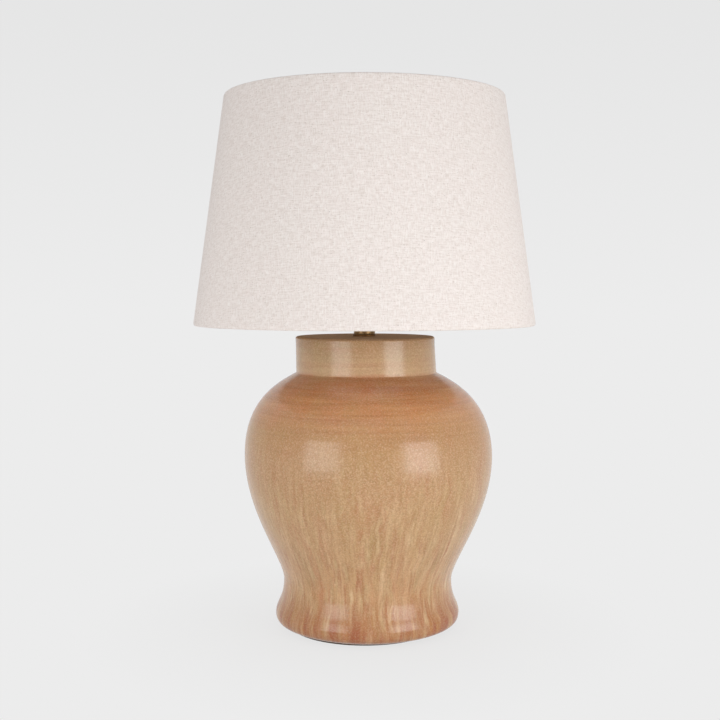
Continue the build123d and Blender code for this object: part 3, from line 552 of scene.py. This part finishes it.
# The linen's closed outline: up the cone outside, round the top ring, and back inside. The
# radius steps out by a thread's thickness where the cloth laps over itself at the back.
def makeLinen():
    bottom, top = np.array(shade["bottomRing"]), np.array(shade["topRing"])
    along = (top - bottom) / np.linalg.norm(top - bottom)
    out = np.array([along[1], -along[0]])
    lean = math.degrees(math.atan2(out[1], out[0]))
    hem, rows, inner, outer = (shade[key] for key in ("hemTurn", "hemRows", "inner", "outer"))
    line = np.vstack([
        linePoints(bottom + outer * out, top + outer * out, shade["sideRows"]),
        arcPoints(top, outer, lean, lean + hem, rows),
        arcPoints(top, inner, lean + hem, lean, rows),
        linePoints(top + inner * out, bottom + inner * out, shade["insideRows"])[1:],
        arcPoints(bottom, inner, lean, lean - hem, rows),
        arcPoints(bottom, outer, lean - hem, lean, rows)[:-1]])
    # only the outer face steps out, as far as the last rows of each hem
    stepped = rows - shade["tuckedRows"]
    outside = np.zeros((len(line), 1))
    outside[:shade["sideRows"] + stepped] = 1
    outside[1 - stepped:] = 1
    # columns close to each edge of the lap keep its step sharp
    halfLap = shade["lap"] / 2 / shade["lapRadius"]
    edges = [math.pi / 2 + side * halfLap + nudge for side in (-1, 1)
             for nudge in (-0.0035, -0.001, 0.001, 0.0035)]
    angles = np.sort(np.concatenate([evenAngles(shade["columns"]), edges]))
    fromBack = (angles - math.pi / 2) / halfLap
    lapped = np.clip((1 - np.abs(fromBack)) * 20 + 0.5, 0, 1)
    radii = line[:, :1] + outside * lapped * shade["lapStep"]
    piece = turnedPiece("linen_shade", radii, line[:, 1:], angles, crease=50)
    return piece, along, bottom


# The cloth's own map, in metres: a cone unrolls to a sector, so u is distance from the
# cone's tip times the sine of the unrolled angle, and v is that distance times its cosine.
# Its seam is at the back, where a corner takes its own face's side.
def layCloth(piece, along, bottom):
    mesh = piece.data
    narrowing = -along[0]
    tipDistance = (bottom[0] + shade["outer"]) / narrowing
    vertexOf = readAll(mesh.loops, "vertex_index", 1, np.int32).ravel()
    corner = readAll(mesh.vertices, "co")[vertexOf] / mm
    cornersOf = readAll(mesh.polygons, "loop_total", 1, np.int32).ravel()
    centre = np.repeat(readAll(mesh.polygons, "center"), cornersOf, axis=0)
    turn = np.arctan2(corner[:, 0], -corner[:, 1])
    faceTurn = np.arctan2(centre[:, 0], -centre[:, 1])
    turn -= 2 * math.pi * np.round((turn - faceTurn) / (2 * math.pi))
    distance = tipDistance - (corner[:, 2] - bottom[1]) / along[1]
    flatTurn = turn * narrowing
    spread = np.stack([distance * np.sin(flatTurn), distance * np.cos(flatTurn)], axis=1) * mm
    layer = mesh.uv_layers.new(name="cloth")
    layer.data.foreach_set("uv", spread.ravel())


# Flecked linen: plain weave of undyed and bleached flax, stuck to a stiff lining. Uneven
# threads give slubs both ways, and bits of bark stay in as grey-brown flecks. Its threads,
# 0.8 mm apart, are drawn twice as coarse so that they show.
def makeLinenCloth():
    material, tree, shader = startMaterial("fleckedLinen", Roughness=0.9, Sheen_Weight=0.1,
                                           Sheen_Roughness=0.4)
    place = addNode(tree, "ShaderNodeUVMap", uv_map="cloth")
    # a wave pattern repeats every 2 pi / 20 / scale
    scale = 2 * math.pi / 20 / (shade["threadPitch"] * mm)
    weft, warp = [addNode(tree, "ShaderNodeTexWave", {
        "Vector": place, "Scale": scale, "Distortion": 3.5, "Detail": 2.0, "Detail Scale": 0.6},
        wave_type="BANDS", bands_direction=way).outputs["Fac"] for way in ("X", "Y")]
    weave = addNode(tree, "ShaderNodeMath", {0: weft, 1: warp}, operation="MULTIPLY")
    shown = addNode(tree, "ShaderNodeMath", {0: weave, 1: 0.3}, operation="MULTIPLY")
    across = grain(tree, place, 1.35, (7, 1, 1), 0, 0.78, centre=0.54, soft=0.13)
    upright = grain(tree, place, 1.3, (1, 7, 1), 0, 0.62, centre=0.54, soft=0.13, seed=(4, 4, 4))
    colour = layTones(tree, linearColour(shade["cloth"]), [
        (grain(tree, place, 55, high=0.5, seed=(1, 1, 1)), shade["clothWarm"]),
        (shown, "#fffaf5"), (across, shade["threadDark"]), (upright, "#fffaf6"),
        (grain(tree, place, 1.5, (1, 3, 1), 0, 0.45, centre=0.56, soft=0.12, seed=(7, 3, 3)),
         shade["threadDark"]),
        (grain(tree, place, 1.2, (2.2, 1, 1), 0, 0.5, 1, 0.69, 0.06, (9, 1, 7)), "#b3a296"),
        (grain(tree, place, 2.0, (1.6, 0.8, 1), 0, 0.62, 1, 0.765, 0.035, (2, 8, 3)),
         "#94867d")])
    relief = addNode(tree, "ShaderNodeMath", {0: weave, 1: across}, operation="ADD")
    fillInputs(tree, shader, {"Base Color": colour, "Normal": addNode(
        tree, "ShaderNodeBump", {"Strength": 0.25, "Distance": 0.0003, "Height": relief})})
    return material


linenPiece, clothAlong, clothBottom = makeLinen()


# Three blocks that cut the hem open round the spider's arms.
def notchCutters():
    made = []
    radius, level = shade["topRing"]
    out = Matrix.Translation(((radius - shade["outer"]) * mm, 0, level * mm))
    size = Matrix.Diagonal([side * mm for side in shade["notch"]] + [1])
    for index in range(3):
        bpy.ops.mesh.primitive_cube_add(size=1)
        block = bpy.context.object
        turn = Matrix.Rotation(math.radians(90 + index * 120), 4, "Z")
        block.data.transform(turn @ out @ size)
        made.append(block)
    return made


cutAway(linenPiece, notchCutters())
layCloth(linenPiece, clothAlong, clothBottom)
placePiece(linenPiece, makeLinenCloth(), "shade", "shade_linen")
print("linen laid on the shade")

# Pressure-sensitive styrene: the calendered white sheet that stiffens the shade. Smooth and
# matt, with the cloth's weave just pressing through.
styreneSheet = makeFinish(
    "styreneSheet", ("#f1ece4", "#e9e2d8"), 40, (0.5, 0.62), (1.6, (1, 1, 1), 0.12),
    [("#e2d8cb", 2.2, 0.3, 0.6, 0.1, {"stretch": (1, 1, 6)})])
dressNodes(styreneSheet, "shade_liner")

# Brass-plated steel wire: drawn, so that faint lines run up the harp, and dulled by handling.
platedWire = makeFinish(
    "brassPlatedWire", ("#c9a86b", "#b28d52"), 9, (0.24, 0.36), (0.5, (1, 1, 7), 0.1),
    [("#7f6338", 1.4, 0.55, 0.66, 0.08)], Metallic=1.0)
dressNodes(platedWire, "shade_top_ring", "shade_bottom_ring", "spider_washer",
           "spider_arm_1", "spider_arm_2", "spider_arm_3", "harp")

# The brass neck and the ring under it, in millimetres.
neck = {"seatRadius": 14.0, "low": 350.0, "seatTop": 352.5, "seatRound": 0.8, "bore": 5.1,
        "radius": 12.75, "plainTop": 362.5, "cove": 8.5, "collar": 11.75, "collarLow": 375.0,
        "top": 378.5, "edgeRound": 0.5, "grooveDown": 2.2, "grooveRound": 0.6,
        "grooveOut": 0.3, "columns": 96}


# The ring: a flat washer with a rounded upper edge, its outline a closed loop.
def makeSeatRing():
    low, top, r, small, bore = (neck[key] for key in (
        "low", "seatTop", "seatRadius", "seatRound", "bore"))
    outline = np.vstack([
        linePoints((bore, low), (r, low), 5), linePoints((r, low), (r, top - small), 3),
        roundedCorner((r, top), small, 0, 90, 6),
        linePoints((r - 1.5 * small, top), (bore, top), 5),
        linePoints((bore, top), (bore, low), 3)])
    return turnedOutline("bronzed_seat_ring", outline, neck["columns"], loop=True)


# The neck: a plain band with a turned groove, a cove, and a collar, round the pipe's bore.
def makeBrassNeck():
    r, bore, top, small, cove = (neck[key] for key in (
        "radius", "bore", "top", "edgeRound", "cove"))
    low, plainTop, collar, collarLow = (neck[key] for key in (
        "seatTop", "plainTop", "collar", "collarLow"))
    grooveLevel = plainTop - neck["grooveDown"]
    outline = np.vstack([
        linePoints((bore, low), (r - small, low), 5), roundedCorner((r, low), small, -90, 0),
        linePoints((r, low + small + 0.2), (r, grooveLevel - 1), 5),
        arcPoints((r + neck["grooveOut"], grooveLevel), neck["grooveRound"], 240, 120, 5),
        linePoints((r, grooveLevel + 1), (r, plainTop), 3),
        curvePoints((r, plainTop), (cove - 0.1, plainTop + 2.6), (cove, collarLow - 2.6),
                    (collar, collarLow), 18),
        linePoints((collar, collarLow), (collar, top - small), 4),
        roundedCorner((collar, top), small, 0, 90),
        linePoints((collar - small - 0.2, top), (bore, top), 5),
        linePoints((bore, top), (bore, low), 4)])
    return turnedOutline("turned_brass_neck", outline, neck["columns"], loop=True)


# Aged brass: turned on a lathe, lacquered long ago, now brown in the lines the tool left.
agedBrass = makeFinish(
    "agedTurnedBrass", ("#bc9c73", "#957853"), 7, (0.2, 0.34), (0.35, (1, 1, 1), 0.25),
    [("#5a4528", 0.5, 0.6, 0.6, 0.12), ("#4a3820", 3.0, 0.5, 0.6, 0.12)],
    turned=True, Metallic=1.0)

# Bronzed brass: the same metal browned in an acid bath, patchy where it has worn.
bronzedBrass = makeFinish(
    "bronzedBrass", ("#8f6c46", "#6c4e34"), 5, (0.3, 0.45), (0.4, (1, 1, 1), 0.25),
    [("#8a6a42", 1.6, 0.4, 0.64, 0.08)], turned=True, Metallic=1.0)
placePiece(makeSeatRing(), bronzedBrass, "lamp_base", "neck_seat")
placePiece(makeBrassNeck(), agedBrass, "lamp_base", "brass_neck")

# The finial, in millimetres: low is its seat's level, and the other heights are over that,
# apart from the level at which its blind bore ends.
finial = {"low": 621.05, "base": 8.0, "baseHigh": 2.6, "waist": 4.8, "waistUp": 6.0,
          "ball": 7.6, "ballUp": 14.5, "tip": 2.8, "high": 28.0, "bore": 3.15, "boreTop": 632.8,
          "edgeRound": 0.6, "columns": 72}


# The finial: one outline from the blind bore's end, out under the base, up a cove, a ball and
# a small tip to the axis.
def makeFinial():
    low, base, waist, ball, tip, bore, boreTop, small = (finial[key] for key in (
        "low", "base", "waist", "ball", "tip", "bore", "boreTop", "edgeRound"))
    middle, baseTop, waistUp = (low + finial[key] for key in ("ballUp", "baseHigh", "waistUp"))
    tipCentre = low + finial["high"] - tip
    under, over = math.acos(waist / ball), math.acos(tip / ball)
    outline = np.vstack([
        linePoints((0.8, boreTop), (bore, boreTop), 3), linePoints((bore, boreTop), (bore, low), 5),
        linePoints((bore, low), (base - small - 0.1, low), 5),
        roundedCorner((base, low), small, -90, 0), [[base, (low + baseTop) / 2]],
        roundedCorner((base, baseTop), small, 0, 90),
        curvePoints((base - small - 0.2, baseTop), (waist + 0.6, baseTop + 0.2),
                    (waist, baseTop + 1.2), (waist, waistUp), 10),
        linePoints((waist, waistUp), (waist, middle - ball * math.sin(under)), 3),
        arcPoints((0, middle), ball, -math.degrees(under), math.degrees(over), 30),
        linePoints((tip, middle + ball * math.sin(over) + 0.4), (tip, tipCentre), 5),
        arcPoints((0, tipCentre), tip, 0, 82, 9)])
    return turnedOutline("turned_finial", outline, finial["columns"])


placePiece(makeFinial(), agedBrass, "finial", "finial")
print("neck, ring and finial turned")

# The threaded pipe and the harp's stud, in millimetres.
pipe = {"radius": 4.9, "bore": 3.3, "low": 14.5, "top": 388.0, "lowThread": 30.0,
        "topThread": 16.0, "pitch": 0.94, "depth": 0.45, "columns": 40}
stud = {"radius": 3.1, "low": 617.8, "top": 631.8, "pitch": 0.94, "depth": 0.35, "columns": 32}
threadEnd = {"bevel": 0.4, "rowsPerTurn": 6}


# The pipe: a closed outline whose outer radii carry a thread at both ends and none between.
def makePipe():
    low, top, r, bore, pitch = (pipe[key] for key in ("low", "top", "radius", "bore", "pitch"))
    root, step = r - pipe["depth"], pitch / threadEnd["rowsPerTurn"]
    lowEnd, topStart = low + pipe["lowThread"], top - pipe["topThread"]
    heights = np.concatenate([
        np.arange(low + threadEnd["bevel"], lowEnd, step), [lowEnd + 1, topStart - 1],
        np.arange(topStart, top - threadEnd["bevel"], step)])
    angles = evenAngles(pipe["columns"])
    cut = (heights < lowEnd) | (heights > topStart)
    radii = np.where(cut[:, None], threadRadii(r, pipe["depth"], pitch, heights, angles), r)
    ends = np.array([[root, top], [bore, top], [bore, low], [root, low]])
    radii, heights = joinStretches(len(angles), (radii, heights), ends)
    return turnedPiece("threaded_lamp_pipe", radii, heights, angles, crease=40)


# The stud: the same thread on a plain rod with flat ends.
def makeStud():
    low, top, r, pitch = (stud[key] for key in ("low", "top", "radius", "pitch"))
    root, step = r - stud["depth"], pitch / threadEnd["rowsPerTurn"]
    heights = np.arange(low + threadEnd["bevel"], top - threadEnd["bevel"], step)
    angles = evenAngles(stud["columns"])
    radii = threadRadii(r, stud["depth"], pitch, heights, angles)
    radii, heights = joinStretches(
        len(angles), np.array([[root / 2, low], [root, low]]), (radii, heights),
        np.array([[root, top], [root / 2, top]]))
    return turnedPiece("threaded_stud", radii, heights, angles, loop=False, crease=40)


# Zinc-plated steel: tumbled in a plating barrel, so a cool grey with cloudy bright spangle.
zincSteel = makeFinish(
    "zincPlatedSteel", ("#b4b8ba", "#979ca0"), 4, (0.3, 0.46), (0.6, (1, 1, 1), 0.1),
    [("#cfd3d4", 2.2, 0.5, 0.6, 0.1), ("#70695c", 1.3, 0.4, 0.7, 0.06, {"seed": (1, 5, 5)})],
    Metallic=1.0)

# Brass-plated pressings and ferrules: rolled strip, plated and buffed to a soft shine.
platedBrass = makeFinish(
    "buffedBrassPlate", ("#d0b074", "#b9945a"), 8, (0.18, 0.3), (0.4, (5, 1, 1), 0.08),
    [("#86683a", 1.2, 0.5, 0.67, 0.07)], Metallic=1.0)
placePiece(makePipe(), zincSteel, "lamp_base", "threaded_pipe")
placePiece(makeStud(), platedBrass, "lamp_base", "harp_stud")
dressNodes(zincSteel, "base_steel_washer", "base_lock_washer", "base_nut")
dressNodes(platedBrass, "harp_saddle", "harp_bracket", "ferrule_left", "ferrule_right")
print("pipe and stud threaded")

# The bulb's cap and the shell that it screws into, in millimetres.
bulbCap = {"crest": 13.1, "depth": 0.6, "wall": 0.4, "pitch": 3.6, "low": 429.55,
           "threadLow": 431.95, "threadTop": 446.35, "top": 450.45, "lowRadius": 11.4,
           "hole": 0.6, "rows": 49, "columns": 96}
screwShell = {"crest": 13.72, "depth": 0.36, "wall": 0.26, "pitch": 3.6, "low": 421.0,
              "threadLow": 422.2, "top": 440.0, "hole": 6.0, "floor": 0.4, "rows": 53,
              "columns": 96}


# The cap: a wall that follows a rolled thread, drawn in to the insulator below. The thread
# swells from nothing to its full depth over half a turn at each end.
def makeBulbCap():
    low, top, wall, foot, narrow, hole, crest, pitch = (bulbCap[key] for key in (
        "threadLow", "threadTop", "wall", "low", "lowRadius", "hole", "crest", "pitch"))
    heights = np.linspace(low, top, bulbCap["rows"])
    angles = evenAngles(bulbCap["columns"])
    swell = np.clip(np.minimum(heights - low, top - heights) / (pitch / 2), 0, 1)[:, None]
    root, rim = crest - bulbCap["depth"], crest - 0.02
    wave = threadRadii(crest, bulbCap["depth"], pitch, heights, angles, rolled=True)
    outer = root + (wave - root) * swell
    radii, heights = joinStretches(
        len(angles), np.array([[hole, foot], [narrow, foot], [narrow + 0.5, foot + 0.7]]),
        (outer, heights),
        np.array([[rim, top + 0.35], [rim, bulbCap["top"] - 0.1],
                  [rim - wall, bulbCap["top"]], [rim - wall, top + 0.35]]),
        (outer[::-1] - wall, heights[::-1]),
        np.array([[narrow - 0.4, foot + wall], [hole, foot + wall]]))
    return turnedPiece("rolled_bulb_cap", radii, heights, angles, loop=False)


# The shell: the same rolled thread, kept clear of the cap's, over a floor with a hole.
def makeScrewShell():
    low, crest, wall, hole, floor = (screwShell[key] for key in (
        "low", "crest", "wall", "hole", "floor"))
    heights = np.linspace(screwShell["threadLow"], screwShell["top"], screwShell["rows"])
    angles = evenAngles(screwShell["columns"])
    inner = threadRadii(crest, screwShell["depth"], screwShell["pitch"], heights, angles,
                        rolled=True)
    radii, heights = joinStretches(
        len(angles), np.array([[hole, low], [crest - 0.4, low], [crest, low + 0.5]]),
        (inner + wall, heights), (inner[::-1], heights[::-1]),
        np.array([[crest - 0.4, low + floor], [hole, low + floor]]))
    return turnedPiece("rolled_screw_shell", radii, heights, angles)


# Lamp aluminium: rolled thin, pressed into threads, soft grey with fine scuffs round it.
capAluminium = makeFinish(
    "rolledAluminium", ("#c9cbcc", "#b2b4b6"), 6, (0.28, 0.4), (0.4, (1, 1, 1), 0.12),
    [("#8d8f91", 0.7, 0.5, 0.64, 0.08)], turned=True, Metallic=1.0)

# Socket brass: spun and pressed from thin sheet, bright where it was burnished on the tool.
socketBrass = makeFinish(
    "spunSocketBrass", ("#d6b673", "#bd9855"), 10, (0.2, 0.32), (0.35, (1, 1, 1), 0.2),
    [("#8c6c3c", 0.8, 0.45, 0.62, 0.1), ("#e2c88e", 2.6, 0.4, 0.6, 0.1, {"seed": (2, 2, 2)})],
    turned=True, Metallic=1.0)
placePiece(makeBulbCap(), capAluminium, "bulb", "bulb_cap")
placePiece(makeScrewShell(), socketBrass, "lamp_base", "screw_shell")
dressNodes(socketBrass, "socket_cap", "socket_shell", "body_rivets", "terminal_screws",
           "centre_contact", "socket_set_screw")
print("bulb cap and screw shell rolled")

# Moulded nylon: a brown strain bushing, faintly mottled where the melt met in the mould.
nylon = makeFinish(
    "mouldedNylon", ("#5f4630", "#523b28"), 4, (0.38, 0.5), (0.5, (1, 1, 1), 0.12),
    [("#7b6046", 0.9, 0.35, 0.66, 0.07)], IOR=1.53)
dressNodes(nylon, "cord_bushing")

# Nitrile rubber: cut from a calendered sheet, matt black with a bloom of grey talc.
rubber = makeFinish(
    "nitrileRubber", ("#242424", "#2d2c2b"), 6, (0.7, 0.85), (0.6, (1, 1, 1), 0.25),
    [("#5a5855", 1.2, 0.35, 0.66, 0.08)], IOR=1.52)
dressNodes(rubber, "base_rubber_washer")

# Vulcanised fibre card: rolled paper board, brown and dull with fibres across it.
fibreCard = makeFinish(
    "vulcanisedFibre", ("#97754f", "#866540"), 7, (0.7, 0.82), (0.7, (4, 1, 1), 0.3),
    [("#b3946a", 0.8, 0.5, 0.6, 0.1, {"stretch": (5, 1, 1)}),
     ("#5e452b", 0.8, 0.5, 0.66, 0.07, {"stretch": (1, 4, 1)})])
dressNodes(fibreCard, "socket_sleeve")

# Phenolic resin: pressed hot with wood flour, glossy near-black with brown specks of filler.
phenolic = makeFinish(
    "pressedPhenolic", ("#221c1b", "#2b2422"), 5, (0.22, 0.36), (0.6, (1, 1, 1), 0.1),
    [("#4a362b", 0.7, 0.5, 0.66, 0.06)], IOR=1.6)
dressNodes(phenolic, "socket_body_lower", "socket_body_upper", "switch_rotor")

# Urea resin: the switch's fluted key, moulded glossy and worn matt in patches.
ureaResin = makeFinish(
    "mouldedUreaResin", ("#241e1b", "#1b1614"), 4, (0.25, 0.45), (0.4, (1, 1, 1), 0.12),
    [("#453a33", 1.1, 0.35, 0.65, 0.08)], IOR=1.55)
dressNodes(ureaResin, "switch_knob")
dressNodes(socketBrass, "knob_bushing")
dressNodes(zincSteel, "switch_stem")

# Frosted lamp glass: blown soda-lime glass with a fine white powder baked on inside, so light
# passes but no shape shows through; a faint greyness lies on it in patches.
frostedGlass = makeFinish(
    "frostedLampGlass", ("#fbf9f4", "#f5f2ea"), 20, (0.16, 0.24), (1.2, (1, 1, 1), 0.04),
    [("#dcd8d0", 9.0, 0.25, 0.62, 0.12)], IOR=1.52, Transmission_Weight=0.12)
dressNodes(frostedGlass, "bulb_glass")

# Clear lead glass: the pinched mount inside the bulb, with seed bubbles and drawn cords.
mountGlass = makeFinish(
    "drawnLeadGlass", ("#e2ebea", "#d5e0de"), 3, (0.04, 0.1), (1.5, (1, 1, 5), 0.1),
    [("#f6fbfa", 0.6, 0.4, 0.7, 0.05)], IOR=1.56, Transmission_Weight=0.9)
dressNodes(mountGlass, "bulb_stem")

# Vitrite: black glass cast molten into the cap's foot, glossy with flow lines and pits.
vitrite = makeFinish(
    "castVitrite", ("#17151a", "#201c22"), 4, (0.1, 0.22), (0.9, (1, 1, 1), 0.15),
    [("#3a343c", 1.5, 0.4, 0.64, 0.08, {"stretch": (3, 1, 1)})], IOR=1.6)
dressNodes(vitrite, "bulb_insulator")

# Lead-free solder: a drop that froze on the contact, satin grey with a wrinkled skin.
solder = makeFinish(
    "frozenSolder", ("#a9a9a6", "#8e8e8c"), 2, (0.34, 0.5), (0.8, (1, 1, 1), 0.3),
    [("#6b6a68", 0.6, 0.5, 0.62, 0.1)], Metallic=1.0)
dressNodes(solder, "bulb_tip")

# Tungsten: a drawn and coiled wire, grey, its turns seen as fine ribs across it.
tungsten = makeFinish(
    "coiledTungsten", ("#8a8783", "#6f6c69"), 3, (0.35, 0.5), (0.5, (0.4, 4, 1), 0.5),
    [("#4b4947", 0.5, 0.6, 0.55, 0.12, {"stretch": (0.5, 4, 4)})], Metallic=1.0)
dressNodes(tungsten, "bulb_filament")
print("small parts finished")

# The stage: a pale floor, and a background that the camera and reflections see.
stage = {"near": "#ececec", "far": "#e6e6e6", "floorSize": 30.0, "shadowShare": 0.12,
         "shadowFrom": 0.1, "shadowReach": 0.34, "worldLeft": 0.5, "worldRight": 0.62,
         "farFrom": -0.02, "farAt": 0.22}


# Where the background is seen directly: the greatest of the Light Path outputs for camera,
# glossy and transmission rays.
def seenDirectly(tree):
    path = addNode(tree, "ShaderNodeLightPath").outputs
    total = addNode(tree, "ShaderNodeMath", {
        0: path["Is Camera Ray"], 1: path["Is Glossy Ray"]}, operation="MAXIMUM")
    return addNode(tree, "ShaderNodeMath", {0: total, 1: path["Is Transmission Ray"]},
                   operation="MAXIMUM")


# The floor: matt paint that glows by itself to the camera, apart from a share that takes the
# object's shadow near it.
def makeFloor():
    half = stage["floorSize"] / 2
    mesh = bpy.data.meshes.new("floor")
    mesh.from_pydata([(-half, -half, 0), (half, -half, 0), (half, half, 0), (-half, half, 0)],
                     [], [(0, 1, 2, 3)])
    floor = bpy.data.objects.new("floor", mesh)
    bpy.context.scene.collection.objects.link(floor)
    material = bpy.data.materials.new("paleFloor")
    material.use_nodes = True
    tree = material.node_tree
    tree.nodes.clear()
    tone = linearColour(stage["near"])
    paint = addNode(tree, "ShaderNodeBsdfDiffuse", {"Color": tone})
    glow = addNode(tree, "ShaderNodeEmission", {"Color": tone, "Strength": 1.0})
    place = addNode(tree, "ShaderNodeTexCoord").outputs["Object"]
    distance = addNode(tree, "ShaderNodeVectorMath", {0: place}, operation="LENGTH")
    far = addNode(tree, "ShaderNodeMapRange", {
        0: distance.outputs["Value"], 1: stage["shadowFrom"], 2: stage["shadowReach"],
        3: 1 - stage["shadowShare"], 4: 1.0})
    share = addNode(tree, "ShaderNodeMath", {0: far, 1: seenDirectly(tree)},
                    operation="MULTIPLY")
    mixed = addNode(tree, "ShaderNodeMixShader", {0: share, 1: paint, 2: glow})
    addNode(tree, "ShaderNodeOutputMaterial", {0: mixed})
    mesh.materials.append(material)


# The room: its light grows from left to right, and what the camera and reflections see of it
# is a pale backdrop, a little darker higher up.
def makeWorld():
    world = bpy.data.worlds.new("studio")
    bpy.context.scene.world = world
    world.use_nodes = True
    tree = world.node_tree
    tree.nodes.clear()
    towards = addNode(tree, "ShaderNodeTexCoord").outputs["Generated"]
    parts = addNode(tree, "ShaderNodeSeparateXYZ", {0: towards}).outputs
    light = addNode(tree, "ShaderNodeMapRange", {
        0: parts[0], 1: -1.0, 2: 1.0, 3: stage["worldLeft"], 4: stage["worldRight"]})
    lit = addNode(tree, "ShaderNodeBackground", {"Color": (1, 1, 1, 1), "Strength": light})
    higher = addNode(tree, "ShaderNodeMapRange", {
        0: parts[2], 1: stage["farFrom"], 2: stage["farAt"], 3: 0, 4: 1})
    tone = layTones(tree, linearColour(stage["near"]), [(higher, stage["far"])])
    seen = addNode(tree, "ShaderNodeBackground", {"Color": tone, "Strength": 1.0})
    mixed = addNode(tree, "ShaderNodeMixShader", {0: seenDirectly(tree), 1: lit, 2: seen})
    addNode(tree, "ShaderNodeOutputWorld", {0: mixed})


# Soft boxes, in degrees from the front, watts per square metre and steradian, and metres.
# Two stand in front, where the reflections on the jar say. The one behind, which lights the
# back, stays out of the reflections.
lamps = {"boxes": {"left": (-39.7, 2.6), "right": (45.7, 3.6), "back": (180, 2.2)},
         "distance": 1.15, "wide": 0.65, "high": 0.58, "level": 0.3, "about": 0.29}


def makeLamps():
    for name, (azimuth, radiance) in lamps["boxes"].items():
        data = bpy.data.lights.new(name, "AREA")
        data.shape = "RECTANGLE"
        data.size = lamps["wide"]
        data.size_y = lamps["high"]
        data.energy = radiance * lamps["wide"] * lamps["high"] * math.pi
        lamp = bpy.data.objects.new(name, data)
        turn = math.radians(azimuth)
        lamp.location = (lamps["distance"] * math.sin(turn), -lamps["distance"] * math.cos(turn),
                         lamps["level"])
        towards = Vector((0, 0, lamps["about"])) - lamp.location
        lamp.rotation_euler = towards.to_track_quat("-Z", "Y").to_euler()
        lamp.visible_glossy = name != "back"
        bpy.context.scene.collection.objects.link(lamp)


makeFloor()
makeWorld()
makeLamps()
bpy.context.scene.view_settings.view_transform = "Standard"
print("stage lit")
